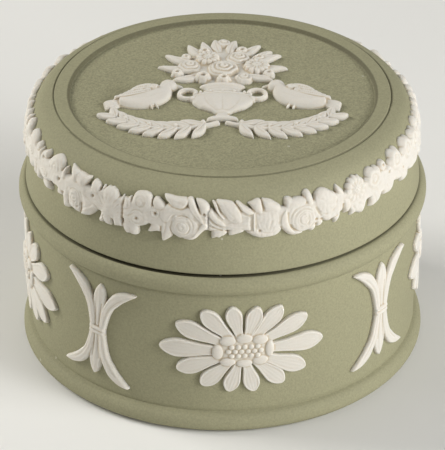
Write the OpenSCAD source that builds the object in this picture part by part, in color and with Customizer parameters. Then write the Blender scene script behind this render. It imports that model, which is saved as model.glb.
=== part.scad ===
// A round stoneware trinket box in two bodies of coloured clay, the base and its lift-off lid,
// with white clay sprigs luted on: flowers and tied leaves on the wall, a floral garland round
// the lid, and an urn of flowers with two doves and two leafy branches on the sunk top.
// The origin is on the table under the middle of the foot, and +Z is up.

/* [Base] */
// Radius of the side wall
wall_r = 36.5; // [35:0.5:40]
// How far the foot bead and the rim bead stand out from the wall
bead_out = 1.5; // [1.2:0.1:1.8]
// Height of the foot bead
foot_bead_h = 3.95; // [3:0.05:5]
// Height of the rim bead
rim_bead_h = 4.1; // [3:0.1:5]
// Height of the seat that the lid rests on
seat_z = 33.1; // [32:0.1:40]
// Thickness of the floor
floor_t = 3.8; // [2.5:0.1:6]
// Depth of the hollow underneath
hollow_d = 1.2; // [0.6:0.1:2]
// Width of the ring that the box stands on, from the wall inwards
foot_ring_w = 3.2; // [2:0.1:5]
// Thickness of the collar that stands up inside the lid
collar_t = 2; // [1.2:0.1:3]
// Height of the collar above the seat
collar_h = 4; // [2.5:0.1:5]

/* [Lid] */
// Height of the lid from its edge to the top of its ring
lid_h = 16.95; // [16:0.05:22]
// How far the edge of the lid stands out past the side wall
lid_out = 0.2; // [0:0.05:0.6]
// Inward slope of the side of the lid, in degrees
lid_slope = 7.1; // [3:0.1:9]
// Thickness of the lid at its edge
skirt_t = 2.3; // [1.8:0.1:3]
// Depth of the rebate that clears the collar, above the collar's top
rebate_over = 0.8; // [0.4:0.1:1.5]
// How far the inside of the lid steps in above the rebate
rebate_step = 1.8; // [1:0.1:2.5]
// Radius of the rounded shoulder
shoulder_r = 5.2; // [4:0.1:6]
// Distance from the edge of the lid in to the outside of the top ring
ring_in = 5.7; // [5:0.1:7]
// Width of the top ring
ring_w = 2.9; // [2:0.1:4]
// How far the top ring stands above the shoulder
ring_rise = 0.1; // [0.05:0.05:0.2]
// Chamfer on both edges of the top ring
ring_chamfer = 0.3; // [0.1:0.05:0.5]
// Depth of the sunk disc below the top ring
disc_d = 0.75; // [0.4:0.05:1.2]
// Thickness of the crown under the sunk disc
crown_t = 3.1; // [2.5:0.1:4]

/* [Fits] */
// Clearance all round between the collar and the lid
collar_gap = 0.4; // [0.3:0.05:0.8]
// Clearance between the edge of the lid and its seat
seat_gap = 0.1; // [0.05:0.05:0.2]
// Film of slip between a sprig and the clay that it is luted to
slip = 0.05; // [0.03:0.01:0.08]

/* [Flower sprigs] */
// Width of a flower sprig from tip to tip
flower_w = 30.3; // [24:0.1:34]
// Height of a flower sprig from tip to tip
flower_h = 17.8; // [14:0.1:20]
// Height of its middle above the table
flower_z = 17.6; // [14:0.1:19]
// Number of petals
petals = 14; // [10:1:18]
// Width of a petal at its widest, as a share of the room that it has there
petal_fill = 0.8; // [0.6:0.01:0.82]
// Thickness of a petal
petal_t = 0.8; // [0.5:0.05:1]
// Width of the oval boss in the middle
boss_w = 11.2; // [8:0.1:13]
// Height of the oval boss
boss_h = 6.9; // [5:0.1:8]
// Radius of the beads on the boss
bead_r = 0.62; // [0.4:0.02:0.7]
// How far the beads stand out from the wall
bead_t = 1.2; // [1:0.05:1.3]
// Directions of the flower sprigs round the box, from the front
flower_turns = [5.7, 94, 184, 280];

/* [Tied leaf sprigs] */
// Distance from the middle of a leaf sprig to the tips of its outer leaves
outer_leaf_reach = 7.7; // [6:0.1:9]
// Height of the tips of the outer leaves above the middle
outer_leaf_rise = 9.8; // [8:0.1:11]
// Height of the tips of the middle leaves above the middle
middle_leaf_rise = 9.9; // [8:0.1:11]
// Width of a leaf
leaf_w = 2.7; // [2:0.1:3.4]
// Thickness of a leaf
leaf_t = 0.8; // [0.5:0.05:1]
// Height of the middle of a leaf sprig above the table
leaf_sprig_z = 17.1; // [15:0.1:18.5]
// Width of the tie in the middle
tie_w = 3.4; // [2.6:0.1:4.2]
// Height of the tie
tie_h = 2.3; // [1.5:0.1:3]
// Thickness of the tie
tie_t = 1; // [0.8:0.05:1.1]
// Directions of the leaf sprigs round the box, from the front
leaf_turns = [-38, 51.7, 140, 232];

/* [Garland] */
// Depth of the middle of the garland below the top of the ring
garland_down = 6.25; // [5:0.05:7]
// Height of the garland
garland_h = 7.6; // [6:0.1:8]
// Thickness of the backing strip
strip_t = 0.4; // [0.3:0.05:0.6]
// Thickness of a bloom
bloom_t = 1; // [0.6:0.05:1.1]
// How far a bud stands above its bloom
bud_rise = 0.3; // [0.1:0.05:0.4]
// Thickness of a garland leaf
garland_leaf_t = 0.8; // [0.5:0.05:0.9]
// Turn between the ends of two strips, in degrees
strip_joint_turn = 0.3; // [0.2:0.1:1]
// Turn of the first joint between strips from the front, in degrees
strip_first_turn = -94; // [-180:1:180]

/* [Top relief] */
// Height of the urn
urn_h = 13; // [10:0.1:15]
// Width of the urn at its shoulder
urn_w = 11.6; // [9:0.1:13]
// Thickness of the urn
urn_t = 1.3; // [0.8:0.1:1.8]
// Place of the foot of the urn, behind the middle of the lid
urn_y = -10.6; // [-12:0.1:-8]
// Radius of the ring handles
handle_r = 2; // [1.6:0.1:2.4]
// Thickness of the ring handles
handle_t = 0.8; // [0.6:0.05:1]
// Width of the bouquet
bouquet_w = 26; // [20:0.1:27]
// Height of the bouquet
bouquet_h = 18; // [14:0.1:19]
// Thickness of the bouquet
bouquet_t = 1; // [0.6:0.1:1.4]
// Thickness of the cushion of clay under it
cushion_t = 0.5; // [0.3:0.05:0.8]
// Length of a dove from its beak to its tail
dove_l = 15; // [12:0.1:15.5]
// Thickness of a dove
dove_t = 1; // [0.6:0.1:1.4]
// Distance from the middle of the lid to the middle of a dove
dove_x = 14.6; // [13:0.1:16]
// Place of the middle of a dove, behind the middle of the lid
dove_y = -1.5; // [-3:0.1:1]
// Clearance, across the lid, from the end of a branch to the edge of the sunk disc
branch_edge_gap = 7.6; // [6:0.1:12]
// Width of the stem of a branch
stem_w = 0.9; // [0.6:0.05:1.4]
// Length of a leaf on a branch
branch_leaf_l = 4.6; // [3:0.1:5.2]
// Thickness of a branch
branch_t = 0.8; // [0.5:0.05:1.2]
// Gap between two neighbouring pieces of the relief
relief_gap = 0.3; // [0.2:0.05:0.6]

/* [Hidden] */

$fn = 96;
GREEN = [0.60, 0.59, 0.46];
WHITE = [0.92, 0.90, 0.85];
// Overrun of every cut
cut = 1;
// Points along each edge of a leaf
EDGE_POINTS = 10;
// Shapes of the leaves: share of the width at the root, share of the length at which a leaf is
// widest, and power of the cosine that closes it to its tip
PETAL_SHAPE = [0.3, 0.7, 0.7];
OUTER_LEAF_SHAPE = [0.55, 0.55, 0.9];
MIDDLE_LEAF_SHAPE = [0.6, 0.62, 0.9];
SPRAY_LEAF_SHAPE = [0.5, 0.45, 0.9];
BRANCH_LEAF_SHAPE = [0.4, 0.5, 0.9];
STEM_SHAPE = [1, 0.5, 0.5];

// Radii that the base and the lid share
lid_r = wall_r + lid_out;
skirt_r = lid_r - skirt_t;
collar_r = skirt_r - collar_gap;
inside_r = collar_r - collar_t;
floor_z = hollow_d + floor_t;
collar_z = seat_z + collar_h;

// The two beads are half ellipses that start a little inside the wall
bead_root_share = 0.2;
bead_half_w = bead_out * (1 + bead_root_share);
bead_mid_r = wall_r - bead_out * bead_root_share;
foot_bead_mid_share = 0.405;
rim_bead_mid_share = 0.49;

// Heights and radii of the outside of the lid
lid_z = seat_z + seat_gap;
lid_top_z = lid_z + lid_h;
shoulder_z = lid_top_z - ring_rise - shoulder_r;
tangent_z = shoulder_z + shoulder_r * sin(lid_slope);
tangent_r = lid_r - (tangent_z - lid_z) * tan(lid_slope);
shoulder_mid_r = tangent_r - shoulder_r * cos(lid_slope);
ring_r = lid_r - ring_in;
disc_r = ring_r - ring_w;
disc_z = lid_top_z - disc_d;
ceiling_z = disc_z - crown_t;
rebate_z = collar_z + rebate_over;
upper_inside_r = skirt_r - rebate_step;

// Lean of the outside of the lid, at a walk up it from where the side meets the shoulder
function lid_lean(walk) = lid_slope + max(walk, 0) / shoulder_r * 180 / PI;

// Radius and height of a point at that walk, and a distance out from the lid
function lid_point(walk, out) =
    [
        (walk < 0 ? tangent_r - walk * sin(lid_slope) : shoulder_mid_r + shoulder_r * cos(lid_lean(walk)))
            + out * cos(lid_lean(walk)),
        (walk < 0 ? tangent_z + walk * cos(lid_slope) : shoulder_z + shoulder_r * sin(lid_lean(walk)))
            + out * sin(lid_lean(walk))
    ];

// The garland's middle as such a walk, the edges of its backing strip as shares of its height,
// and the turn that one strip takes
garland_walk = (lid_top_z - garland_down - tangent_z) / cos(lid_slope);
strip_low_share = -0.36;
strip_high_share = 0.33;
strip_turn = 360 / 4;

// Blooms of the two garland moulds: turn from the strip's start in degrees,
// height above the garland's middle and radius, both as shares of its height
bloom_a_shares = [
    [4.5, 0.08, 0.29], [10.5, -0.20, 0.22], [10.8, 0.30, 0.21], [17.5, -0.04, 0.33],
    [24.5, 0.22, 0.23], [25.2, -0.25, 0.18], [31.6, -0.15, 0.20], [38.4, 0.38, 0.17],
    [40.4, 0.04, 0.25], [47.8, 0.22, 0.22], [50.3, -0.26, 0.29], [54.9, 0.08, 0.15],
    [61.2, 0.10, 0.29], [62.8, -0.27, 0.20], [70.9, 0.30, 0.26], [69.8, -0.12, 0.29],
    [75.3, 0.09, 0.14], [82.6, 0.27, 0.24], [83.0, -0.18, 0.28], [88.2, 0.14, 0.12]
];
bloom_b_shares = [
    [5.2, 0.07, 0.34], [9.8, -0.02, 0.30], [16.4, 0.03, 0.36], [26.4, -0.06, 0.41],
    [31.6, -0.25, 0.15], [34.2, 0.17, 0.29], [35.5, -0.18, 0.20], [45.2, 0.16, 0.32],
    [42.6, -0.22, 0.21], [52.6, 0.20, 0.27], [50.6, -0.21, 0.21], [55.2, 0.32, 0.16],
    [58.8, -0.09, 0.23], [64.2, 0.24, 0.29], [64.9, -0.20, 0.19], [72.8, 0.08, 0.33],
    [79.8, 0.20, 0.26], [80.4, -0.22, 0.21], [86.0, 0.04, 0.27]
];

// Leaves of the two moulds: turn of the root in degrees, its height as a share of the
// garland's height, length as a share of that height, and direction in degrees
leaf_a_shares = [
    [8, 0.20, 0.32, 100], [14, -0.25, 0.28, 250], [21.5, 0.20, 0.34, 80], [22, -0.22, 0.32, 270],
    [34.6, 0.15, 0.40, 112], [36, -0.20, 0.34, 265], [46.2, 0.25, 0.34, 105], [50.8, 0.22, 0.32, 70],
    [45.6, -0.25, 0.34, 235], [54.8, 0.18, 0.34, 85], [66, -0.24, 0.30, 250],
    [75.5, -0.10, 0.42, 255], [78.6, -0.20, 0.44, 265], [80, 0.25, 0.42, 120],
    [85.2, 0.25, 0.36, 70]
];
leaf_b_shares = [
    [3.2, 0.20, 0.34, 95], [4.4, -0.18, 0.34, 240], [6.9, 0.20, 0.30, 82], [11.6, 0.22, 0.32, 105],
    [20.4, 0.18, 0.30, 75], [30.8, 0.15, 0.34, 80], [37.8, 0.14, 0.38, 70], [37, -0.18, 0.36, 285],
    [41.8, -0.20, 0.36, 265], [46.8, -0.15, 0.42, 275], [49.8, -0.20, 0.32, 255],
    [55.8, -0.18, 0.34, 290], [60.6, 0.20, 0.30, 80], [67.4, -0.15, 0.40, 290],
    [69, 0.22, 0.32, 105], [76.4, -0.20, 0.34, 270], [76.5, 0.22, 0.32, 85]
];

// Half outline of the urn, from its foot up: half widths as shares of its half width
// and heights as shares of its height
urn_shares = [
    [0.50, 0], [0.50, 0.06], [0.22, 0.12], [0.18, 0.22], [0.50, 0.30], [0.86, 0.44],
    [1, 0.60], [0.92, 0.72], [0.58, 0.80], [0.50, 0.88], [0.66, 0.94], [0.72, 1]
];
handle_x_share = 1.02;
handle_y_share = 0.74;

// Blooms of the bouquet: place as shares of half its width and of its height, and radius
// as a share of its height
bouquet_shares = [
    [0, 0.30, 0.17], [-0.36, 0.34, 0.14], [0.38, 0.30, 0.14], [-0.18, 0.56, 0.14],
    [0.20, 0.58, 0.15], [0, 0.80, 0.12], [-0.52, 0.56, 0.10], [0.54, 0.54, 0.10],
    [-0.62, 0.22, 0.09], [0.64, 0.18, 0.09], [0, 0.10, 0.10]
];
// Leaves of the bouquet: place of the root as above, length as a share of its height, direction
bouquet_leaf_shares = [
    [-0.42, 0.36, 0.32, 165], [-0.40, 0.44, 0.34, 140], [-0.20, 0.64, 0.32, 115],
    [0.02, 0.78, 0.22, 90], [0.22, 0.64, 0.32, 65], [0.42, 0.42, 0.34, 40],
    [0.46, 0.34, 0.30, 12], [-0.46, 0.22, 0.28, 195], [0.48, 0.20, 0.28, 345]
];

// Right half of the outline of the cushion under the bouquet, as shares as above
cushion_shares = [
    [0.56, 0], [0.74, 0.16], [0.74, 0.36], [0.60, 0.62], [0.36, 0.76], [0.10, 0.88]
];

// Outline of a dove that faces +X, as shares of its length, from the beak round over its back
dove_shares = [
    [0.50, 0.16], [0.42, 0.25], [0.31, 0.27], [0.24, 0.20], [0.12, 0.18], [-0.10, 0.14],
    [-0.28, 0.02], [-0.50, -0.10], [-0.44, -0.18], [-0.20, -0.14], [0.02, -0.20],
    [0.20, -0.17], [0.32, -0.04], [0.36, 0.10]
];
wing_shares = [
    [0.16, 0.10], [0.06, 0.16], [-0.10, 0.12], [-0.32, -0.04], [-0.14, -0.06], [0.06, -0.04]
];
wing_t_share = 0.4;
dove_turn = 12;

// A branch reaches out as far as the sunk disc has room for it. Its stem is a quadratic curve, in
// shares of its length from the foot of the urn
branch_l = disc_r - branch_edge_gap;
stem_start_shares = [0.03, -0.03];
stem_bend_shares = [0.60, -0.34];
stem_end_shares = [1, 0.12];
branch_pair_room_share = 0.63;
branch_leaf_pairs = floor(branch_l / (branch_leaf_l * branch_pair_room_share));
branch_leaf_angle = 45;
branch_leaf_w_share = 0.3;

// A point on a quadratic curve
function curve_point(a, b, c, t) = (1 - t) * (1 - t) * a + 2 * t * (1 - t) * b + t * t * c;

// Direction of that curve, one unit long
function curve_way(a, b, c, t) =
    let (way = (1 - t) * (b - a) + t * (c - b)) way / norm(way);

// Half width of a leaf at a share of its length: it swells from its root to its widest place
// and then closes to its tip
function leaf_half(t, shape) =
    t < shape[1]
        ? shape[0] + (1 - shape[0]) * sin(90 * t / shape[1])
        : pow(cos(90 * (t - shape[1]) / (1 - shape[1])), shape[2]);

// Outline of a leaf along the curve a, b, c
function leaf_outline(a, b, c, width, shape) =
    let (
        half = [for (i = [0:EDGE_POINTS]) width / 2 * leaf_half(i / EDGE_POINTS, shape)],
        mid = [for (i = [0:EDGE_POINTS]) curve_point(a, b, c, i / EDGE_POINTS)],
        side = [for (i = [0:EDGE_POINTS]) let (w = curve_way(a, b, c, i / EDGE_POINTS)) [-w[1], w[0]]]
    )
    concat(
        [for (i = [0:EDGE_POINTS - 1]) mid[i] + half[i] * side[i]],
        [mid[EDGE_POINTS]],
        [for (i = [EDGE_POINTS - 1:-1:0]) mid[i] - half[i] * side[i]]
    );

// A straight leaf from a root point in a direction
module straight_leaf(root, length, turn, width, shape) {
    way = [cos(turn), sin(turn)];
    polygon(leaf_outline(root, root + way * length / 2, root + way * length, width, shape));
}

// Scale from an arc length on the wall to the same place seen square on
function seen(u) = wall_r * sin(u / wall_r * 180 / PI);

// What a drawing covers of a shell that lies on the wall, at a turn and a height
module on_wall(turn, z, t) {
    reach = wall_r + slip + t;
    rotate([0, 0, turn])
        intersection() {
            translate([0, 0, z])
                rotate([90, 0, 0])
                    linear_extrude(reach + cut)
                        children();
            difference() {
                cylinder(h = seat_z, r = reach);
                translate([0, 0, -cut])
                    cylinder(h = seat_z + 2 * cut, r = wall_r + slip);
            }
        }
}

// Puts a solid on the outside of the lid, with its own +Z pointing out of the lid, and with its
// back sunk in the backing strip
module on_lid(turn, walk) {
    sunk_share = 0.25;
    foot = lid_point(walk, slip + strip_t * sunk_share);
    rotate([0, 0, turn])
        translate([0, -foot[0], foot[1]])
            rotate([90 - lid_lean(walk), 0, 0])
                children();
}

// Outside of the base as a half outline: the wall and its two beads
module base_outline() {
    square([wall_r, seat_z]);
    translate([bead_mid_r, foot_bead_h * foot_bead_mid_share])
        scale([bead_half_w, foot_bead_h * (1 - foot_bead_mid_share)])
            circle(1);
    translate([bead_mid_r, seat_z - rim_bead_h * rim_bead_mid_share])
        scale([bead_half_w, rim_bead_h * (1 - rim_bead_mid_share)])
            circle(1);
}

// The base: wall, floor, beads and the collar that the lid drops over
module box_base() {
    outer_r = wall_r + bead_out;
    color(GREEN)
        rotate_extrude()
            difference() {
                union() {
                    intersection() {
                        base_outline();
                        square([outer_r, seat_z]);
                    }
                    square([collar_r, collar_z]);
                }
                translate([0, floor_z])
                    square([inside_r, collar_z]);
                translate([0, -cut])
                    square([wall_r - foot_ring_w, hollow_d + cut]);
            }
}

// The lid: sloping side, rounded shoulder, top ring round a sunk disc, and its hollow
module lid() {
    color(GREEN)
        rotate_extrude()
            difference() {
                union() {
                    polygon([
                        [0, lid_z], [lid_r, lid_z], [tangent_r, tangent_z],
                        [shoulder_mid_r, shoulder_z + shoulder_r], [0, shoulder_z + shoulder_r]
                    ]);
                    translate([shoulder_mid_r, shoulder_z])
                        circle(shoulder_r);
                    polygon([
                        [disc_r, ceiling_z], [ring_r, ceiling_z], [ring_r, lid_top_z - ring_chamfer],
                        [ring_r - ring_chamfer, lid_top_z], [disc_r + ring_chamfer, lid_top_z],
                        [disc_r, lid_top_z - ring_chamfer]
                    ]);
                }
                translate([0, disc_z])
                    square([disc_r, disc_d + cut]);
                translate([0, lid_z - cut])
                    square([skirt_r, rebate_z - lid_z + cut]);
                translate([0, rebate_z - cut])
                    square([upper_inside_r, shoulder_z - rebate_z + cut]);
                translate([0, shoulder_z - cut])
                    square([upper_inside_r - crown_t, ceiling_z - shoulder_z + cut]);
                translate([upper_inside_r - crown_t, shoulder_z])
                    scale([crown_t, ceiling_z - shoulder_z])
                        circle(1);
            }
}

// Distance from the middle of a flower to its edge in a direction
function flower_reach(turn) =
    1 / sqrt(pow(cos(turn) / (flower_w / 2), 2) + pow(sin(turn) / (flower_h / 2), 2));

// Petals of a flower sprig, seen square on. The room of a petal is the distance between the
// middle lines of two neighbours at its widest place, so that petals never touch.
module petal_drawing() {
    root_share = 0.3;
    widest_share = root_share + (1 - root_share) * PETAL_SHAPE[1];
    for (i = [0:petals - 1]) {
        turn = i * 360 / petals;
        reach = flower_reach(turn);
        root = reach * root_share;
        room = 2 * reach * widest_share * sin(180 / petals);
        way = [cos(turn), sin(turn)];
        polygon([for (p = leaf_outline(way * root, way * (root + reach) / 2, way * reach,
            room * petal_fill, PETAL_SHAPE)) [seen(p[0]), p[1]]]);
    }
}

// A flower sprig: a ring of petals round an oval boss of beads
module flower_sprig(turn) {
    boss_sides = 32;
    outer_beads = 16;
    inner_beads = 8;
    bead_ring_share = 0.82;
    inner_ring_share = 0.42;
    color(WHITE) {
        on_wall(turn, flower_z, petal_t) {
            petal_drawing();
            polygon([for (i = [0:boss_sides - 1]) boss_point(360 * i / boss_sides, 1)]);
        }
        on_wall(turn, flower_z, bead_t) {
            for (i = [0:outer_beads - 1])
                translate(boss_point(360 * i / outer_beads, bead_ring_share))
                    circle(bead_r, $fn = 8);
            for (i = [0:inner_beads - 1])
                translate(boss_point(360 * i / inner_beads, inner_ring_share))
                    circle(bead_r, $fn = 8);
        }
    }
}

// A point on the oval boss at an angle, at a share of its size
function boss_point(angle, share) = [boss_w / 2 * share * cos(angle), boss_h / 2 * share * sin(angle)];

// The six leaves of a tied leaf sprig, seen square on
module leaf_drawing() {
    root_x_share = 0.13;
    root_y_share = 0.04;
    bend_x_share = 0.24;
    bend_y_share = 0.86;
    for (side = [-1, 1])
        for (up = [-1, 1])
            polygon(leaf_outline(
                [side * outer_leaf_reach * root_x_share, up * outer_leaf_rise * root_y_share],
                [side * outer_leaf_reach * bend_x_share, up * outer_leaf_rise * bend_y_share],
                [side * outer_leaf_reach, up * outer_leaf_rise],
                leaf_w, OUTER_LEAF_SHAPE));
    for (up = [-1, 1])
        straight_leaf([0, 0], middle_leaf_rise, up * 90, leaf_w, MIDDLE_LEAF_SHAPE);
}

// A leaf sprig: three leaves up and three down, with a tie round the middle
module leaf_sprig(turn) {
    color(WHITE) {
        on_wall(turn, leaf_sprig_z, leaf_t)
            leaf_drawing();
        on_wall(turn, leaf_sprig_z, tie_t)
            translate([-tie_w / 2, -tie_h / 2])
                square([tie_w, tie_h]);
    }
}

// A bloom: a round flower head with a bud in it
module bloom(r, t) {
    bud_share = 0.45;
    cylinder(h = t, r = r);
    cylinder(h = t + bud_rise, r = r * bud_share);
}

// One strip of the garland from a start direction, with its blooms and leaves
module garland_strip(start, blooms, leaves) {
    leaf_width_share = 0.26;
    steps = 6;
    walks = [for (i = [0:steps]) garland_walk
        + garland_h * (strip_low_share + (strip_high_share - strip_low_share) * i / steps)];
    color(WHITE) {
        rotate([0, 0, start + strip_joint_turn / 2 - 90])
            rotate_extrude(angle = strip_turn - strip_joint_turn)
                polygon(concat(
                    [for (i = [0:steps]) lid_point(walks[i], slip + strip_t)],
                    [for (i = [steps:-1:0]) lid_point(walks[i], slip)]
                ));
        for (b = blooms)
            on_lid(start + b[0], garland_walk + b[1] * garland_h)
                bloom(b[2] * garland_h, bloom_t);
        for (l = leaves)
            on_lid(start + l[0], garland_walk + l[1] * garland_h)
                linear_extrude(garland_leaf_t)
                    straight_leaf([0, 0], l[2] * garland_h, l[3],
                        leaf_width_share * garland_h, SPRAY_LEAF_SHAPE);
    }
}

// Puts a drawing on the sunk disc as a slab
module on_disc(t) {
    translate([0, 0, disc_z + slip])
        linear_extrude(t)
            children();
}

// The urn of the top relief, with two ring handles
module relief_urn() {
    half = [for (p = urn_shares) [p[0] * urn_w / 2, urn_y + p[1] * urn_h]];
    color(WHITE) {
        on_disc(urn_t)
            polygon(concat(half, [for (i = [len(half) - 1:-1:0]) [-half[i][0], half[i][1]]]));
        on_disc(handle_t)
            for (side = [-1, 1])
                translate([side * handle_x_share * urn_w / 2, urn_y + handle_y_share * urn_h])
                    difference() {
                        circle(handle_r);
                        circle(handle_r - handle_t);
                    }
    }
}

// The bouquet that stands in the urn
module relief_bouquet() {
    foot_y = urn_y + urn_h + relief_gap;
    leaf_width_share = 0.13;
    cushion = [for (p = cushion_shares) [p[0] * bouquet_w / 2, p[1] * bouquet_h]];
    last = len(cushion) - 1;
    color(WHITE)
        difference() {
            translate([0, foot_y, 0]) {
                on_disc(cushion_t)
                    polygon(concat(cushion, [for (i = [last:-1:0]) [-cushion[i][0], cushion[i][1]]]));
                for (b = bouquet_shares)
                    translate([b[0] * bouquet_w / 2, b[1] * bouquet_h, disc_z + slip])
                        bloom(b[2] * bouquet_h, bouquet_t);
                on_disc(bouquet_t)
                    for (l = bouquet_leaf_shares)
                        straight_leaf([l[0] * bouquet_w / 2, l[1] * bouquet_h],
                            l[2] * bouquet_h, l[3], leaf_width_share * bouquet_h, SPRAY_LEAF_SHAPE);
            }
            translate([-bouquet_w, foot_y - bouquet_h, 0])
                cube([2 * bouquet_w, bouquet_h, lid_top_z + urn_h]);
        }
}

// A dove of the top relief; side 1 stands on the right and faces the urn
module relief_dove(side) {
    color(WHITE)
        translate([side * dove_x, dove_y, 0])
            mirror([side > 0 ? 1 : 0, 0, 0])
                rotate([0, 0, dove_turn]) {
                    on_disc(dove_t)
                        polygon([for (p = dove_shares) p * dove_l]);
                    on_disc(dove_t * (1 + wing_t_share))
                        polygon([for (p = wing_shares) p * dove_l]);
                }
}

// A leafy branch of the top relief; side 1 runs to the right
module relief_branch(side) {
    a = stem_start_shares * branch_l;
    b = stem_bend_shares * branch_l;
    c = stem_end_shares * branch_l;
    color(WHITE)
        translate([0, urn_y, 0])
            mirror([side < 0 ? 1 : 0, 0, 0])
                on_disc(branch_t) {
                    polygon(leaf_outline(a, b, c, stem_w, STEM_SHAPE));
                    for (i = [1:branch_leaf_pairs])
                        for (turn = [-branch_leaf_angle, branch_leaf_angle]) {
                            t = i / (branch_leaf_pairs + 1);
                            way = curve_way(a, b, c, t);
                            straight_leaf(curve_point(a, b, c, t), branch_leaf_l,
                                atan2(way[1], way[0]) + turn,
                                branch_leaf_l * branch_leaf_w_share, BRANCH_LEAF_SHAPE);
                        }
                }
}

box_base();
flower_sprig(flower_turns[0]);  // flower_sprig_1
flower_sprig(flower_turns[1]);  // flower_sprig_2
flower_sprig(flower_turns[2]);  // flower_sprig_3
flower_sprig(flower_turns[3]);  // flower_sprig_4
leaf_sprig(leaf_turns[0]);  // leaf_sprig_1
leaf_sprig(leaf_turns[1]);  // leaf_sprig_2
leaf_sprig(leaf_turns[2]);  // leaf_sprig_3
leaf_sprig(leaf_turns[3]);  // leaf_sprig_4
lid();
garland_strip(strip_first_turn, bloom_a_shares, leaf_a_shares);  // garland_strip_1
garland_strip(strip_first_turn + strip_turn, bloom_b_shares, leaf_b_shares);  // garland_strip_2
garland_strip(strip_first_turn + 2 * strip_turn, bloom_a_shares, leaf_a_shares);  // garland_strip_3
garland_strip(strip_first_turn + 3 * strip_turn, bloom_b_shares, leaf_b_shares);  // garland_strip_4
relief_urn();
relief_bouquet();
relief_dove(-1);  // relief_dove_left
relief_dove(1);  // relief_dove_right
relief_branch(-1);  // relief_branch_left
relief_branch(1);  // relief_branch_right
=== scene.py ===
"""A round stoneware trinket box: sage green clay with white clay sprigs.

Sizes are in millimetres unless a name ends in _m, and in metres in the studio. Directions round
the box are in degrees from its front, which is -Y, towards +X.
"""
import math

import bpy
import numpy as np
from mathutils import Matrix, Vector


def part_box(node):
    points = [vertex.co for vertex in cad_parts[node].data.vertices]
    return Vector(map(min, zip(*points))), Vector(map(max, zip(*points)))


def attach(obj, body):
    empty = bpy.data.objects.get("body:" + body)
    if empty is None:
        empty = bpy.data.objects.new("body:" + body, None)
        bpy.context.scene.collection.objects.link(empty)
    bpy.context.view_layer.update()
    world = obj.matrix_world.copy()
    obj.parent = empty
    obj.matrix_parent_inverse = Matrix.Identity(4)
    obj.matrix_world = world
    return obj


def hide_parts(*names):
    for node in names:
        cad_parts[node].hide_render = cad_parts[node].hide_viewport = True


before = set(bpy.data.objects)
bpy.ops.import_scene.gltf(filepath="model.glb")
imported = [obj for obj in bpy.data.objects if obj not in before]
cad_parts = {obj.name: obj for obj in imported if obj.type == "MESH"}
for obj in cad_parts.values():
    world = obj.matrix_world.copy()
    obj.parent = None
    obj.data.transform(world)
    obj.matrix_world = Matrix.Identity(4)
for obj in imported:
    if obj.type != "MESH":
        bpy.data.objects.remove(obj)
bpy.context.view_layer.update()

bl_info = {
    "name": "Sprigged stoneware box",
    "version": (1, 0, 0),
    "blender": (4, 5, 0),
    "location": "3D View > Sidebar > Stoneware",
    "description": "Builds the looks of a round lidded stoneware box with white sprigs",
    "category": "Add Mesh",
}

MM = 0.001
BASE_BODY = "box"
LID_BODY = "lid"


def mm_of(corner):
    """A frame corner in metres, as millimetres."""
    return [c / MM for c in corner]


BASE_TOP = mm_of(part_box("box_base")[1])
LID_LOW = mm_of(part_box("lid")[0])
LID_TOP = mm_of(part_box("lid")[1])
WALL_R = 36.5


def srgb(r, g, b):
    """A colour written as 0 to 255 on screen, as linear RGB with alpha."""
    def linear(c):
        c = c / 255
        return c / 12.92 if c <= 0.04045 else ((c + 0.055) / 1.055) ** 2.4
    return (linear(r), linear(g), linear(b), 1.0)


def measure(name, description, default):
    """A property for a size in millimetres, or an angle in degrees."""
    return bpy.props.FloatProperty(name=name, description=description, default=default)


def shade(name, description, default):
    """A property for a colour with alpha."""
    return bpy.props.FloatVectorProperty(
        name=name, description=description, subtype="COLOR", size=4, default=default, min=0, max=1)


class StonewareSizes(bpy.types.PropertyGroup):
    """Sizes of the thrown clay and of the sprigs, in millimetres"""
    wall_r: measure("Wall radius", "Radius of the side wall", WALL_R)
    bead_out: measure("Bead", "How far both beads stand out from the wall", BASE_TOP[0] - WALL_R)
    seat_z: measure("Seat height", "Height of the seat under the lid", LID_LOW[2] - 0.1)
    collar_r: measure("Collar radius", "Outside radius of the inner collar", 34.0)
    inside_r: measure("Inside radius", "Radius of the hollow of the base", 32.0)
    floor_z: measure("Floor height", "Height of the inside floor", 5.0)
    shoulder_r: measure("Shoulder radius", "Radius of the rounded shoulder of the lid", 5.2)
    slope: measure("Lid slope", "Inward slope of the side of the lid, in degrees", 7.1)
    disc_r: measure("Disc radius", "Radius of the sunk disc", 28.1)
    disc_depth: measure("Disc depth", "Depth of the sunk disc below its ring", 0.75)
    segments: bpy.props.IntProperty(
        name="Segments", description="Steps round the thrown pieces", default=420, min=48)
    sprig_step: measure("Sprig step", "Grid step of the wall and top sprigs", 0.12)
    garland_step: measure("Garland step", "Grid step of the garland", 0.105)


class StonewareColours(bpy.types.PropertyGroup):
    """Colours of the clays and of the studio"""
    green: shade("Green clay", "Colour of the body clay", srgb(151, 148, 119))
    white: shade("White clay", "Colour of the sprig clay", srgb(214, 209, 199))
    floor: shade("Floor", "Colour of the floor and backdrop", srgb(230, 229, 225))


# Outlines and heights of pressed clay

# How far the edge of pressed clay is rounded, how deep a sprig's back is sunk, the least height
# that a groove leaves, and the height under which the green shows through
EDGE = 0.26
SINK = 0.06
LEAST = 0.15
THIN = 0.55


def rise(s, edge):
    """A quarter circle of radius edge, from 0 at the outline to 1 inside it."""
    x = np.clip(s / edge, 0, 1)
    return np.sqrt(1 - (1 - x) ** 2)


def bump_at(x, centre, width):
    """A bell of height 1 at centre, falling to about a third one width away."""
    return np.exp(-((x - centre) / width) ** 2)


def polar(x, y, turn=0.0):
    """Distance from the middle, and direction in radians after a turn in degrees."""
    return np.hypot(x, y), np.arctan2(y, x) + math.radians(turn)


def room(radius):
    """How far round a bloom its clay may reach: its radius, its scallops and its edge."""
    return radius * 1.3 + 0.5


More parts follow.
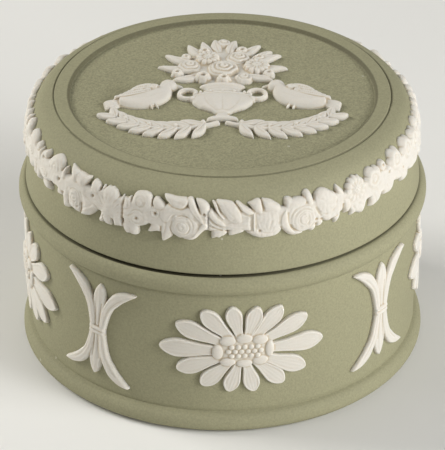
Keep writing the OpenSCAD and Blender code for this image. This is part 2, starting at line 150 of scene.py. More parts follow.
def ripple(u, v, size, seed):
    """Soft uneven ripples, mostly between -1 and 1: a quarter of the sum of eight seeded sine waves."""
    rng = np.random.default_rng(seed)
    total = np.zeros_like(u)
    for _ in range(8):
        turn = rng.uniform(0, 2 * math.pi)
        pace = 2 * math.pi / size * rng.uniform(0.6, 1.5)
        total += np.sin((u * math.cos(turn) + v * math.sin(turn)) * pace + rng.uniform(0, 6.28))
    return total / 4


def blurred(field, rounds):
    """A soft blur: each point becomes the mean of itself and its four neighbours, many times."""
    for _ in range(rounds):
        wide = np.pad(field, 1, mode="edge")
        field = (wide[:-2, 1:-1] + wide[2:, 1:-1] + wide[1:-1, :-2] + wide[1:-1, 2:] + field) / 5
    return field


class Relief:
    """Pressed clay over a flat window: how far each point lies inside the outline, and its height."""

    def __init__(self, low, high, step):
        across = np.arange(low[0], high[0] + step, step)
        up = np.arange(low[1], high[1] + step, step)
        self.step = step
        self.low = low
        self.u, self.v = np.meshgrid(across, up)
        self.inside = np.full(self.u.shape, -2.0 * step)
        self.height = np.zeros(self.u.shape)

    def window(self, centre, reach):
        """The slices of the grid within reach of a centre, on both axes."""
        rows, columns = self.u.shape
        j0 = int((centre[0] - reach - self.low[0]) / self.step)
        j1 = int((centre[0] + reach - self.low[0]) / self.step) + 2
        i0 = int((centre[1] - reach - self.low[1]) / self.step)
        i1 = int((centre[1] + reach - self.low[1]) / self.step) + 2
        return slice(max(i0, 0), min(max(i1, 0), rows)), slice(max(j0, 0), min(max(j1, 0), columns))

    def press(self, shape, centre, reach, turn=0.0, edge=EDGE):
        """Presses a shape at a centre, turned: the higher of the clay and the shape stays."""
        part = self.window(centre, reach)
        x = self.u[part] - centre[0]
        y = self.v[part] - centre[1]
        c = math.cos(math.radians(turn))
        s = math.sin(math.radians(turn))
        inside, height = shape(x * c + y * s, y * c - x * s)
        self.inside[part] = np.maximum(self.inside[part], inside)
        clay = np.where(inside > 0, height * rise(inside, edge), 0)
        self.height[part] = np.maximum(self.height[part], clay)

    def soften(self, share, rounds=14):
        """Fills creases by a share of their depth below the clay's own soft blur, as a worn mould does."""
        soft = blurred(self.height, rounds)
        fill = np.clip(soft - self.height, 0, None) * (self.inside > 0)
        self.height += share * fill

    def at(self, x, y):
        """A place on the window."""
        return (x, y)

    def petal(self, height, *places, fall=0.25, cup=0.0, rim=0.04, lean=(0.0, 0.0), edge=0.45):
        """A petal or leaf inside a smooth closed outline through the places."""
        outline = smooth_line([self.at(*place) for place in places], closed=True)
        low, high = outline.min(axis=0), outline.max(axis=0)
        middle = (low + high) / 2
        shape = filled(outline - middle, height, fall, cup, rim, lean)
        self.press(shape, middle, (high - low).max() / 2 + 0.25, edge=edge)

    def around(self, place, reach):
        """The slices about a place, with how far and in which direction each point lies from it."""
        centre = self.at(*place)
        part = self.window(centre, reach)
        return part, *polar(self.u[part] - centre[0], self.v[part] - centre[1])

    def whorl(self, turn, up, radii, depth):
        """Nested round grooves about a place, uneven round their turn, as rolled petals lie."""
        part, r, angle = self.around((turn, up), max(radii) + 0.6)
        for k, radius in enumerate(radii):
            gap = r - radius * (1 + 0.06 * np.cos(2 * angle + 2 * k))
            self.height[part] -= depth * bump_at(gap, 0, 0.13) * (0.6 + 0.4 * np.cos(angle + 2.2 * k))

    def rays(self, turn, up, reach, count, depth):
        """Grooves that run outwards from a place, as the petals of a frilled flower lie."""
        part, r, angle = self.around((turn, up), reach + 0.4)
        fade = np.clip(r / reach * 2.5 - 0.4, 0, 1) * np.clip((reach - r) / 0.4, 0, 1)
        wave = np.cos(count * angle + 1.1 * np.sin(2.3 * r))
        self.height[part] -= depth * (0.5 - 0.5 * wave) ** 2 * fade

    def pits(self, *places, depth, width):
        """Small round holes in the middles of blooms."""
        for place in places:
            part, r, _ = self.around(place, 3 * width)
            self.height[part] -= depth * bump_at(r, 0, width)

    def fold(self, *places, depth=0.12, width=0.17):
        """A groove along a smooth line: a bell across it, taken off the clay."""
        line = smooth_line([self.at(*place) for place in places])
        low, high = line.min(axis=0), line.max(axis=0)
        part = self.window((low + high) / 2, (high - low).max() / 2 + 3 * width)
        x = self.u[part][..., None] - line[:, 0]
        y = self.v[part][..., None] - line[:, 1]
        gap = np.hypot(x, y).min(axis=-1)
        clay = self.height[part] - depth * bump_at(gap, 0, width)
        self.height[part] = np.where(self.inside[part] > 0, np.maximum(clay, LEAST), 0)

    def taper(self, share, rounds=40, held=False):
        """Lowers the clay by a share at the outline, less and less inwards. Held places keep theirs."""
        cover = blurred(((self.inside > 0) | held).astype(float), rounds)
        self.height *= 1 - share * np.clip(2 - 2 * cover, 0, 1)

    def crease_shade(self, rounds=10, deepest=0.12):
        """From 0, proud, to 1, deepest: how far each point lies under the clay's own soft blur; it sets the
        painted shade in creases.
        """
        return np.clip((blurred(self.height, rounds) - self.height) / deepest, -1, 1) * 0.5 + 0.5


def curve_along(x, y, a, b, c, samples=56):
    """Place on the quadratic curve a, b, c: share of its length, distance to its side, its length."""
    a, b, c = (np.asarray(p, float) for p in (a, b, c))
    t = np.linspace(0, 1, samples)[:, None]
    line = (1 - t) ** 2 * a + 2 * t * (1 - t) * b + t ** 2 * c
    steps = np.linalg.norm(np.diff(line, axis=0), axis=1)
    walked = np.concatenate([[0], np.cumsum(steps)])
    way = np.gradient(line, axis=0)
    way /= np.linalg.norm(way, axis=1)[:, None]
    gap = (x[..., None] - line[:, 0]) ** 2 + (y[..., None] - line[:, 1]) ** 2
    near = np.argmin(gap, axis=-1)
    dx = x - line[near, 0]
    dy = y - line[near, 1]
    along = walked[near] + dx * way[near, 0] + dy * way[near, 1]
    side = dy * way[near, 0] - dx * way[near, 1]
    return along / walked[-1], side, walked[-1]


def smooth_line(points, closed=False, parts=8):
    """A smooth line through points: between each two, a cubic whose slopes follow their neighbours."""
    points = np.asarray(points, float)
    if closed:
        around = np.concatenate([points[-1:], points, points[:2]])
    else:
        around = np.concatenate([2 * points[:1] - points[1:2], points, 2 * points[-1:] - points[-2:-1]])
    a, b, c, d = around[:-3], around[1:-2], around[2:-1], around[3:]
    t = (np.arange(parts) / parts)[:, None, None]
    curve = b + ((c - a) * t + (2 * a - 5 * b + 4 * c - d) * t ** 2 + (3 * b - a - 3 * c + d) * t ** 3) / 2
    curve = curve.transpose(1, 0, 2).reshape(-1, points.shape[1])
    return curve if closed else np.concatenate([curve, points[-1:]])


def inside_outline(x, y, outline):
    """Distance to a closed outline, positive inside it: the nearest edge, and an odd count of crossings."""
    ax, ay = outline.T
    bx, by = np.roll(outline, -1, axis=0).T
    ex, ey = bx - ax, by - ay
    px = x[..., None] - ax
    py = y[..., None] - ay
    t = np.clip((px * ex + py * ey) / np.maximum(ex ** 2 + ey ** 2, 1e-12), 0, 1)
    gap = np.sqrt(((px - t * ex) ** 2 + (py - t * ey) ** 2).min(axis=-1))
    run = np.where(ey == 0, 1e-12, ey)
    crosses = ((ay > y[..., None]) != (by > y[..., None])) & (px < ex * py / run)
    return np.where(crosses.sum(axis=-1) % 2 == 1, gap, -gap)


def filled(outline, height, fall, cup, rim, lean):
    """Clay inside an outline: a back that falls to its edge, less a cup, plus a rim and a lean."""
    def shape(x, y):
        inside = inside_outline(x, y, outline)
        over = 1 - np.clip(inside / inside.max(), 0, 1)
        clay = height * (1 - fall * over ** 2) - cup * (1 - over ** 2) + rim * bump_at(inside, 0.28, 0.16)
        return inside, clay + lean[0] * x + lean[1] * y
    return shape


def ribbon(stations, height, ribs, rib, fall=0.1, dish=0.0, rim=0.0):
    """A petal or leaf of discs (x, y, radius) strung on a smooth line.

    Its back falls to both sides, less a dish, plus cosine ribs along it and a rim.
    """
    beads = smooth_line(stations)
    way = np.gradient(beads[:, :2], axis=0)
    way /= np.linalg.norm(way, axis=1)[:, None]

    def shape(x, y):
        deep = beads[:, 2] - np.hypot(x[..., None] - beads[:, 0], y[..., None] - beads[:, 1])
        best = np.argmax(deep, axis=-1)
        inside = deep.max(axis=-1)
        radius = np.maximum(beads[best, 2], 0.05)
        side = (y - beads[best, 1]) * way[best, 0] - (x - beads[best, 0]) * way[best, 1]
        over = np.clip(1 - inside / radius, 0, 1)
        clay = height * (1 - fall * over ** 2) - dish * (1 - over ** 4) + rim * bump_at(inside, 0.22, 0.14)
        return inside, clay + rib * np.cos(np.pi * ribs * side / radius)
    return shape


def leaf_half(t, root, peak, tip):
    """Half width of a leaf: a sine swell from root to 1 at peak, then a cosine power to its tip."""
    t = np.clip(t, 0, 1)
    swell = root + (1 - root) * np.sin(np.pi / 2 * np.clip(t / peak, 0, 1))
    close = np.cos(np.pi / 2 * np.clip((t - peak) / (1 - peak), 0, 1)) ** tip
    return np.where(t < peak, swell, close)


def leaf(a, b, c, width, height, root=0.5, peak=0.5, tip=0.9, vein=0.12, rim=0.0, fall=0.25):
    """A leaf along a curve: an arched back less a middle vein, plus a rim."""
    def shape(x, y):
        t, side, length = curve_along(x, y, a, b, c)
        half = width / 2 * leaf_half(t, root, peak, tip)
        past = np.maximum(t - 1, -t).clip(0) * length
        inside = np.where(past > 0, -np.hypot(past, np.abs(side)), (half - np.abs(side)) * 0.94)
        over = np.clip(np.abs(side) / np.maximum(half, 0.05), 0, 1)
        groove = vein * bump_at(side, 0, 0.14) * np.clip(1 - t, 0, 1) ** 0.5
        return inside, height * (1 - fall * over ** 2) - groove + rim * bump_at(inside, 0.2, 0.16)
    return shape


def rose(radius, height, pitch, turn, hollow=0.25, tall=1.0):
    """A rose: a low dome whose height saws outwards along a spiral of petals with five scallops."""
    def shape(x, y):
        r, angle = polar(x, y / tall, turn)
        scallop = np.abs(np.sin(angle * 5 / 2))
        inside = radius * (0.93 + 0.07 * scallop) - r
        spiral = r * (1 - 0.10 * scallop) / pitch - angle / (2 * math.pi)
        saw = spiral - np.floor(spiral)
        dome = 1 - 0.42 * (r / radius) ** 2
        petal = saw ** 1.3 - 0.35 * bump_at(saw, 1.0, 0.1)
        core = bump_at(r, 0, 0.35 * pitch)
        return inside, height * (dome - hollow * (1 - petal) * (1 - core))
    return shape


def ring_bloom(radius, height, lobes, turn, pit):
    """A small ring-shaped bloom: lobes round a raised ring with a pit in its middle."""
    def shape(x, y):
        r, angle = polar(x, y, turn)
        lobe = np.abs(np.cos(angle * lobes / 2))
        inside = radius * (0.80 + 0.20 * lobe ** 0.6) - r
        ring = 0.62 + 0.38 * bump_at(r, 0.50 * radius, 0.24 * radius)
        cleft = 0.22 * bump_at(lobe, 0, 0.22) * np.clip(r / radius - 0.45, 0, 1) * 2
        eye = 0.85 * bump_at(r, 0, pit * radius * 0.62)
        return inside, height * (ring - cleft - eye)
    return shape


def daisy_bloom(radius, height, rays, turn=0.0):
    """A round bloom of rays: a ribbed collar round a domed, dotted middle."""
    disc = 0.36 * radius

    def shape(x, y):
        r, angle = polar(x, y, turn)
        ray = np.abs(np.cos(angle * rays / 2))
        inside = radius * (0.84 + 0.16 * ray ** 0.5) - r
        collar = 0.74 + 0.16 * ray ** 0.6 - 0.10 * bump_at(r, disc * 1.25, 0.1 * radius)
        middle = np.clip(1 - (r / disc) ** 2, 0, 1) ** 0.5
        dots = 0.08 * np.cos(x * 9) * np.cos(y * 9) * (middle > 0)
        return inside, height * np.maximum(collar, (0.62 + 0.4 * middle + dots) * (middle > 0))
    return shape


def ball(radius, height, tall=1.0):
    """A round bud: half a flattened ball."""
    def shape(x, y):
        r = np.hypot(x, y / tall)
        return radius - r, height * np.sqrt(np.clip(1 - 0.75 * (r / radius) ** 2, 0, 1))
    return shape


# Meshes

# How far the radius of a thrown piece wanders, and the longest run between two points of its outline
UNEVEN = 0.03
LONGEST_RUN = 1.6


def new_piece(node, points, triangles, material, body):
    """A closed mesh of triangles, smooth shaded, that rides on a body and stands for a node."""
    name = node + "_clay"
    mesh = bpy.data.meshes.new(name)
    mesh.vertices.add(len(points))
    mesh.vertices.foreach_set("co", (np.asarray(points) * MM).astype(np.float32).ravel())
    mesh.loops.add(triangles.size)
    mesh.loops.foreach_set("vertex_index", triangles.astype(np.int32).ravel())
    mesh.polygons.add(len(triangles))
    mesh.polygons.foreach_set("loop_start", np.arange(0, triangles.size, 3, dtype=np.int32))
    mesh.polygons.foreach_set("use_smooth", np.ones(len(triangles), bool))
    mesh.update(calc_edges=True)
    mesh.validate()
    mesh.materials.append(material)
    piece = bpy.data.objects.new(name, mesh)
    bpy.context.collection.objects.link(piece)
    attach(piece, body)
    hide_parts(node)
    return piece


# Corners of a cell are 0 to 3 counterclockwise from its low corner, and its crossings are
# 4 (low side), 5 (right side), 6 (high side) and 7 (left side). Each case is the set of corners
# inside the outline, as bits, and holds the polygons that fill its part of the cell.
CELL_CASES = {
    1: [(0, 4, 7)], 2: [(1, 5, 4)], 3: [(0, 1, 5, 7)], 4: [(2, 6, 5)],
    5: [(0, 4, 7), (2, 6, 5)], 6: [(1, 2, 6, 4)], 7: [(0, 1, 2, 6, 7)], 8: [(3, 7, 6)],
    9: [(0, 4, 6, 3)], 10: [(1, 5, 4), (3, 7, 6)], 11: [(0, 1, 5, 6, 3)], 12: [(2, 3, 7, 5)],
    13: [(0, 4, 5, 2, 3)], 14: [(1, 2, 3, 7, 4)], 15: [(0, 1, 2, 3)],
}


def trimmed_grid(relief):
    """Marching squares over the relief: grid places of the points, and triangles up to the outline."""
    rows, columns = relief.u.shape
    solid = relief.inside > 0
    ids = np.full((4, rows, columns), -1)
    places = []
    count = 0

    def take(mask, layer, i, j):
        nonlocal count
        ids[layer][mask] = count + np.arange(len(i))
        count += len(i)
        places.append(np.stack([i, j], axis=1))

    i, j = np.nonzero(solid)
    take(solid, 0, i.astype(float), j.astype(float))
    for layer, (di, dj) in ((1, (0, 1)), (2, (1, 0))):
        here = relief.inside[:rows - di, :columns - dj]
        there = relief.inside[di:, dj:]
        crossed = np.zeros_like(solid)
        crossed[:rows - di, :columns - dj] = (here > 0) != (there > 0)
        i, j = np.nonzero(crossed)
        share = relief.inside[i, j] / (relief.inside[i, j] - relief.inside[i + di, j + dj])
        # Kept off the corners, so that no triangle is empty
        share = np.clip(share, 0.02, 0.98)
        take(crossed, layer, i + di * share, j + dj * share)
    corner = ids[0]
    low, left = ids[1], ids[2]
    slots = [corner[:-1, :-1], corner[:-1, 1:], corner[1:, 1:], corner[1:, :-1],
             low[:-1, :-1], left[:-1, 1:], low[1:, :-1], left[:-1, :-1]]
    case = solid[:-1, :-1] * 1 + solid[:-1, 1:] * 2 + solid[1:, 1:] * 4 + solid[1:, :-1] * 8
    triangles = []
    for value, shapes in CELL_CASES.items():
        cells = case == value
        for shape in shapes:
            for k in range(1, len(shape) - 1):
                triangles.append(np.stack([slots[shape[n]][cells] for n in (0, k, k + 1)], axis=1))
    return np.concatenate(places), np.concatenate(triangles), int(solid.sum())


def sprig(node, relief, place, body):
    """A pressed sprig of white clay for a node: the relief over a flat back sunk in the body.

    The points on the outline belong to both sides, so the sprig is closed.
    """
    places, top, solid = trimmed_grid(relief)
    i, j = places[:, 0], places[:, 1]
    u = relief.low[0] + j * relief.step
    v = relief.low[1] + i * relief.step
    height = np.full(len(i), -SINK)
    cells = (i[:solid].astype(int), j[:solid].astype(int))
    height[:solid] += relief.height[cells] + SINK * rise(relief.inside[cells], EDGE)
    points = np.concatenate([place(u, v, height), place(u[:solid], v[:solid], np.full(solid, -SINK))])
    back = top[:, ::-1].copy()
    back = np.where(back < solid, back + len(i), back)
    piece = new_piece(node, points, np.concatenate([top, back]), white(), body)
    # Painted shade: how deep each point lies in a crease, which darkens the white clay there
    crease_shade = np.full(len(points), 0.5)
    crease_shade[:solid] = relief.crease_shade()[cells]
    store(piece, "crease_shade", crease_shade)
    thin = np.zeros(len(points))
    thin[:solid] = np.clip(1 - relief.height[cells] / THIN, 0, 1)
    store(piece, "thin", thin)


def store(piece, name, values):
    """Keeps one value a point as an attribute of the piece."""
    attribute = piece.data.attributes.new(name, "FLOAT", "POINT")
    attribute.data.foreach_set("value", np.asarray(values, np.float32))


def fillet(outline, steps=7):
    """An outline whose corners (r, z, radius) are turned into arcs, with long runs divided."""
    points = []
    count = len(outline)
    for k, (r, z, radius) in enumerate(outline):
        here = np.array([r, z])
        if radius == 0 or k in (0, count - 1):
            points.append(here)
            continue
        before = np.array(outline[k - 1][:2]) - here
        after = np.array(outline[k + 1][:2]) - here
        before_way = before / np.linalg.norm(before)
        after_way = after / np.linalg.norm(after)
        half = math.acos(np.clip(before_way @ after_way, -1, 1)) / 2
        back = min(radius / math.tan(half), 0.49 * np.linalg.norm(before), 0.49 * np.linalg.norm(after))
        for t in np.linspace(0, 1, steps):
            start = here + before_way * back
            end = here + after_way * back
            points.append((1 - t) ** 2 * start + 2 * t * (1 - t) * here + t ** 2 * end)
    divided = [points[0]]
    for a, b in zip(points, points[1:]):
        parts = max(1, int(np.linalg.norm(b - a) / LONGEST_RUN))
        divided += [a + (b - a) * n / parts for n in range(1, parts + 1)]
    return np.array(divided)


def arc(centre, radii, start, end, steps):
    """Points of an ellipse's arc round a centre, between two angles in degrees, as sharp corners."""
    angles = np.radians(np.linspace(start, end, steps))
    return [(centre[0] + radii[0] * math.cos(a), centre[1] + radii[1] * math.sin(a), 0) for a in angles]


def thrown(node, outline, segments, painted_shade, body, warp=None):
    """A thrown piece for a node: an outline turned about +Z, with a slow unevenness of its radius.

    The outline runs counterclockwise from the axis back to the axis, and each end is one point.
    The fourth argument gives the share of painted shade, a darker colour, at a place (r, z), and a warp
    function lifts it by its turn.
    """
    line = fillet(outline)
    inner = line[1:-1]
    turn = np.linspace(0, 2 * math.pi, segments, endpoint=False)
    grid_turn, r = np.meshgrid(turn, inner[:, 0])
    z = np.broadcast_to(inner[:, 1][:, None], r.shape)
    uneven = UNEVEN * (np.sin(2 * grid_turn + 0.7) + 0.6 * np.sin(3 * grid_turn + 0.12 * z))
    r = r + uneven * np.clip(r / inner[:, 0].max(), 0, 1)
    if warp:
        z = z + warp(np.degrees(grid_turn), r, z)
    points = np.stack([r * np.sin(grid_turn), -r * np.cos(grid_turn), z], axis=-1).reshape(-1, 3)
    # Painted shade: the share of a darker colour at each point, none at the two ends
    painted_shading = np.append(painted_shade(r, z).ravel(), [0, 0])
    rings = len(inner)
    ids = np.arange(rings * segments).reshape(rings, segments)
    beside = np.roll(ids, -1, axis=1)
    a, b, c, d = ids[:-1], beside[:-1], beside[1:], ids[1:]
    sides = np.concatenate([np.stack([a, b, c], -1).reshape(-1, 3), np.stack([a, c, d], -1).reshape(-1, 3)])
    first = len(points)
    last = first + 1
    points = np.concatenate([points, [[0, 0, line[0, 1]], [0, 0, line[-1, 1]]]])
    under = np.stack([np.full(segments, first), beside[0], ids[0]], -1)
    over = np.stack([np.full(segments, last), ids[-1], beside[-1]], -1)
    piece = new_piece(node, points, np.concatenate([sides, under, over]), green(), body)
    store(piece, "painted_shade", painted_shading)


# Places on the box

def on_wall(turn, z, radius):
    """A place function: across follows the wall's curve, up is +Z, and height is outwards."""
    def place(u, v, height):
        angle = math.radians(turn) + u / radius
        r = radius + height
        return np.stack([r * np.sin(angle), -r * np.cos(angle), z + v], axis=-1)
    return place


def on_disc(z, origin):
    """A place function on the sunk disc: across is +X, up is +Y, and height is +Z."""
    def place(u, v, height):
        return np.stack([u + origin[0], v + origin[1], z + height], axis=-1)
    return place


class LidSide:
    """The outside of the lid: a straight sloping side and a round shoulder, met at a tangent."""

    def __init__(self, sizes):
        lean = math.radians(sizes.slope)
        self.lean = lean
        self.edge_r = sizes.wall_r + 0.2
        self.edge_z = sizes.seat_z + 0.1
        self.top_z = LID_TOP[2]
        self.round = sizes.shoulder_r
        self.mid_z = self.top_z - 0.1 - self.round
        self.tangent_z = self.mid_z + self.round * math.sin(lean)
        self.tangent_r = self.edge_r - (self.tangent_z - self.edge_z) * math.tan(lean)
        self.mid_r = self.tangent_r - self.round * math.cos(lean)
        self.run = (self.tangent_z - self.edge_z) / math.cos(lean)

    def at(self, walked):
        """Radius, height and outward direction at a distance walked up from the edge."""
        bend = np.clip((walked - self.run) / self.round, 0, 1.3) + self.lean
        on_side = walked < self.run
        r = np.where(on_side, self.edge_r - walked * math.sin(self.lean),
                     self.mid_r + self.round * np.cos(bend))
        z = np.where(on_side, self.edge_z + walked * math.cos(self.lean),
                     self.mid_z + self.round * np.sin(bend))
        return r, z, np.cos(bend), np.sin(bend)

    def place(self, start, middle, scale_r):
        """A place function for the garland, from a start direction, about a middle walk."""
        def place(u, v, height):
            r, z, out, up = self.at(middle + v)
            angle = math.radians(start) + u / scale_r
            r = r + height * out
            return np.stack([r * np.sin(angle), -r * np.cos(angle), z + height * up], axis=-1)
        return place


# Materials

def add_node(tree, kind, given=None, **settings):
    """Adds a shader node. What is given to an input is another node's output or a plain value."""
    node = tree.nodes.new("ShaderNode" + kind)
    for name, value in settings.items():
        setattr(node, name, value)
    for name, value in (given or {}).items():
        if isinstance(value, bpy.types.NodeSocket):
            tree.links.new(value, node.inputs[name])
        else:
            node.inputs[name].default_value = value
    return node


def calc(tree, operation, *values, clamp=False):
    """The result of a math node."""
    return add_node(tree, "Math", dict(enumerate(values)), operation=operation, use_clamp=clamp).outputs[0]


def mapped(tree, value, given, interpolation="LINEAR"):
    """The result of a map range node: 0 to 1 becomes 0 to 1, unless other ends are given."""
    given = {"Value": value, **given}
    return add_node(tree, "MapRange", given, interpolation_type=interpolation).outputs[0]


def blend(tree, share, start, end):
    """A colour that goes from start to end as the share goes from 0 to 1."""
    given = {"Factor": share, "A": start, "B": end}
    return add_node(tree, "Mix", given, data_type="RGBA").outputs["Result"]


def stored(tree, name):
    """The value that the mesh carries under a name."""
    return add_node(tree, "Attribute", attribute_name=name).outputs["Fac"]


def clay_group():
    """Node group: uneven colour, pale specks, and the fine grain of dry stoneware."""
    name = "Dry clay"
    if name in bpy.data.node_groups:
        return bpy.data.node_groups[name]
    group = bpy.data.node_groups.new(name, "ShaderNodeTree")
    for label, way, kind in (
            ("Colour", "INPUT", "Color"), ("Grain", "INPUT", "Float"), ("Grain scale", "INPUT", "Float"),
            ("Cloud", "INPUT", "Float"), ("Specks", "INPUT", "Float"), ("Colour", "OUTPUT", "Color"),
            ("Height", "OUTPUT", "Float"), ("Roughness", "OUTPUT", "Float")):
        group.interface.new_socket(label, in_out=way, socket_type="NodeSocket" + kind)
    given = group.nodes.new("NodeGroupInput").outputs
    made = group.nodes.new("NodeGroupOutput").inputs
    where = add_node(group, "TexCoord").outputs["Object"]

    def noise(scale, detail, roughness=0.5):
        texture = {"Vector": where, "Scale": scale, "Detail": detail, "Roughness": roughness}
        return add_node(group, "TexNoise", texture).outputs["Fac"]

    def maths(operation, a, b, clamp=False):
        return calc(group, operation, a, b, clamp=clamp)

    # Grain, clouds, slow drift, and a dot in a few cells for the specks
    fine = noise(given["Grain scale"], 3, 0.65)
    cloud = noise(95.0, 3)
    drift = noise(22.0, 2)
    speck = add_node(group, "TexVoronoi", {"Vector": where, "Scale": 420.0}).outputs
    chance = maths("GREATER_THAN", speck["Color"], 0.86)
    dot = maths("LESS_THAN", speck["Distance"], 0.11)
    pale = maths("MULTIPLY", maths("MULTIPLY", chance, dot), given["Specks"])
    # Light and dark of the colour: clouds, slow drift and grain, about 1
    clouds = maths("MULTIPLY", maths("SUBTRACT", maths("ADD", cloud, drift), 1.0), given["Cloud"])
    grain = maths("MULTIPLY", maths("SUBTRACT", fine, 0.5), given["Grain"])
    tone = maths("ADD", maths("ADD", clouds, grain), 1.0)
    tint = add_node(group, "VectorMath", {0: given["Colour"], "Scale": tone}, operation="SCALE").outputs[0]
    results = {"Colour": blend(group, pale, tint, srgb(226, 222, 208)),
               "Height": maths("MULTIPLY", fine, given["Grain"]),
               "Roughness": maths("ADD", maths("MULTIPLY", cloud, 0.14), 0.68, True)}
    for label, result in results.items():
        group.links.new(result, made[label])
    return group


def clay_material(name, grain_scale, cloud, specks, bump_m):
    """A dry clay on a rough surface with a little sheen: the material, its group node and its shader."""
    material = bpy.data.materials.new(name)
    material.use_nodes = True
    tree = material.node_tree
    shader = tree.nodes["Principled BSDF"]
    clay = tree.nodes.new("ShaderNodeGroup")
    clay.node_tree = clay_group()
    for label, value in (("Grain scale", grain_scale), ("Cloud", cloud), ("Specks", specks)):
        clay.inputs[label].default_value = value
    bump = add_node(tree, "Bump", {"Height": clay.outputs["Height"], "Distance": bump_m, "Strength": 1.0})
    tree.links.new(bump.outputs["Normal"], shader.inputs["Normal"])
    tree.links.new(clay.outputs["Colour"], shader.inputs["Base Color"])
    tree.links.new(clay.outputs["Roughness"], shader.inputs["Roughness"])
    shader.inputs["Specular IOR Level"].default_value = 0.28
    return material, clay, shader


def green_material(colours, sizes):
    """Sage green dry clay, grainier on the sunk disc, with painted shade in the disc's edge and in the gaps.
    """
    material, clay, _ = clay_material("green clay", 2700.0, 0.08, 0.35, 0.00012)
    tree = material.node_tree
    place = add_node(tree, "SeparateXYZ", {0: add_node(tree, "TexCoord").outputs["Object"]}).outputs
    flat = add_node(tree, "CombineXYZ", {"X": place["X"], "Y": place["Y"]}).outputs[0]
    reach = add_node(tree, "VectorMath", {0: flat}, operation="LENGTH").outputs["Value"]
    in_disc = mapped(tree, reach, {"From Min": (sizes.disc_r + 0.3) * MM,
                                   "From Max": (sizes.disc_r - 0.5) * MM})
    high = calc(tree, "GREATER_THAN", place["Z"], (LID_TOP[2] - 1.5) * MM)
    grain = mapped(tree, calc(tree, "MULTIPLY", in_disc, high), {"To Min": 0.55, "To Max": 1.2})
    tree.links.new(grain, clay.inputs["Grain"])
    # Painted shade: a narrow dark line in the edge of the disc, where the step down into it lies in shade
    off = calc(tree, "ABSOLUTE", calc(tree, "SUBTRACT", reach, (sizes.disc_r + 0.15) * MM))
    line = mapped(tree, off, {"From Min": 0.45 * MM, "From Max": 0.1 * MM, "To Max": 0.65}, "SMOOTHSTEP")
    # Painted shade: the disc line and the stored shade of the gaps turn the green towards a dark olive
    painted_shade = calc(tree, "MAXIMUM", calc(tree, "MULTIPLY", line, high), stored(tree, "painted_shade"))
    painted_shading = blend(tree, painted_shade, tuple(colours.green), srgb(72, 68, 48))
    tree.links.new(painted_shading, clay.inputs["Colour"])
    return material


def white_material(colours):
    """White dry clay with painted shade, warmer and darker, in its creases, and faintly green where it is
    thin.
    """
    material, clay, shader = clay_material("white clay", 4200.0, 0.03, 0.0, 0.00004)
    tree = material.node_tree
    clay.inputs["Grain"].default_value = 0.15
    # Painted shade: a warm dark beige, mixed in by how deep each point lies in a crease
    deep = mapped(tree, stored(tree, "crease_shade"), {"From Min": 0.52, "From Max": 0.85, "To Max": 0.8})
    shaded_in_creases = blend(tree, deep, tuple(colours.white), srgb(196, 180, 152))
    faint = calc(tree, "MULTIPLY", stored(tree, "thin"), 0.25)
    tree.links.new(blend(tree, faint, shaded_in_creases, srgb(190, 188, 162)), clay.inputs["Colour"])
    shader.inputs["Subsurface Weight"].default_value = 0.65
    shader.inputs["Subsurface Radius"].default_value = (1.0, 0.9, 0.8)
    shader.inputs["Subsurface Scale"].default_value = 0.0009
    return material


def green():
    """The green clay, made once."""
    scene = bpy.context.scene
    found = bpy.data.materials.get("green clay")
    return found or green_material(scene.stoneware_colours, scene.stoneware_sizes)


def white():
    """The white clay, made once."""
    return bpy.data.materials.get("white clay") or white_material(bpy.context.scene.stoneware_colours)


# Pieces

# Places on the wall: degrees from the front, millimetres up, and tilt in degrees
FLOWER_PLACES = ((5.7, 17.6, 0), (94, 17.6, 0), (184, 17.6, 0), (281, 17.2, -4.6))
LEAF_PLACES = ((-37.7, 17.1, -5), (51.2, 17.5, 0), (140, 17.2, 2), (232, 17.2, -2))

# Half width and half height of the flower, and of the oval where its petals begin
FLOWER_HALF = (15.1, 8.9)
BOSS_HALF = (4.7, 2.9)
# Tip and width of each petal, from the right counterclockwise, in millimetres from the flower's middle
PETALS = ((15.0, 0.0, 3.9), (11.8, 5.7, 3.6), (7.0, 8.4, 3.4), (2.6, 8.7, 3.1), (-2.1, 8.95, 3.1),
          (-7.3, 8.1, 3.4), (-12.0, 5.2, 3.6), (-15.1, 0.0, 3.9), (-11.9, -4.5, 3.6), (-7.4, -7.5, 3.4),
          (-2.6, -8.8, 3.1), (2.0, -9.0, 3.1), (7.4, -7.8, 3.4), (11.6, -5.4, 3.6))
# Share of the way along a petal, and share of its width there
PETAL_SWELL = ((0.0, 0.50), (0.28, 0.66), (0.5, 0.88), (0.68, 1.0), (0.82, 0.76), (0.92, 0.42), (1.0, 0.04))
# Middle, half width and half height of each lobe of the boss
BOSS_LOBES = ((-4.5, -0.2, 1.15, 1.75), (4.7, 0.0, 0.95, 1.9), (-2.7, 2.1, 1.65, 1.15),
              (0.2, 2.5, 1.7, 1.05), (3.0, 2.1, 1.6, 1.1), (-2.7, -2.3, 1.6, 1.05),
              (0.2, -2.65, 1.7, 1.0), (3.0, -2.2, 1.6, 1.1))


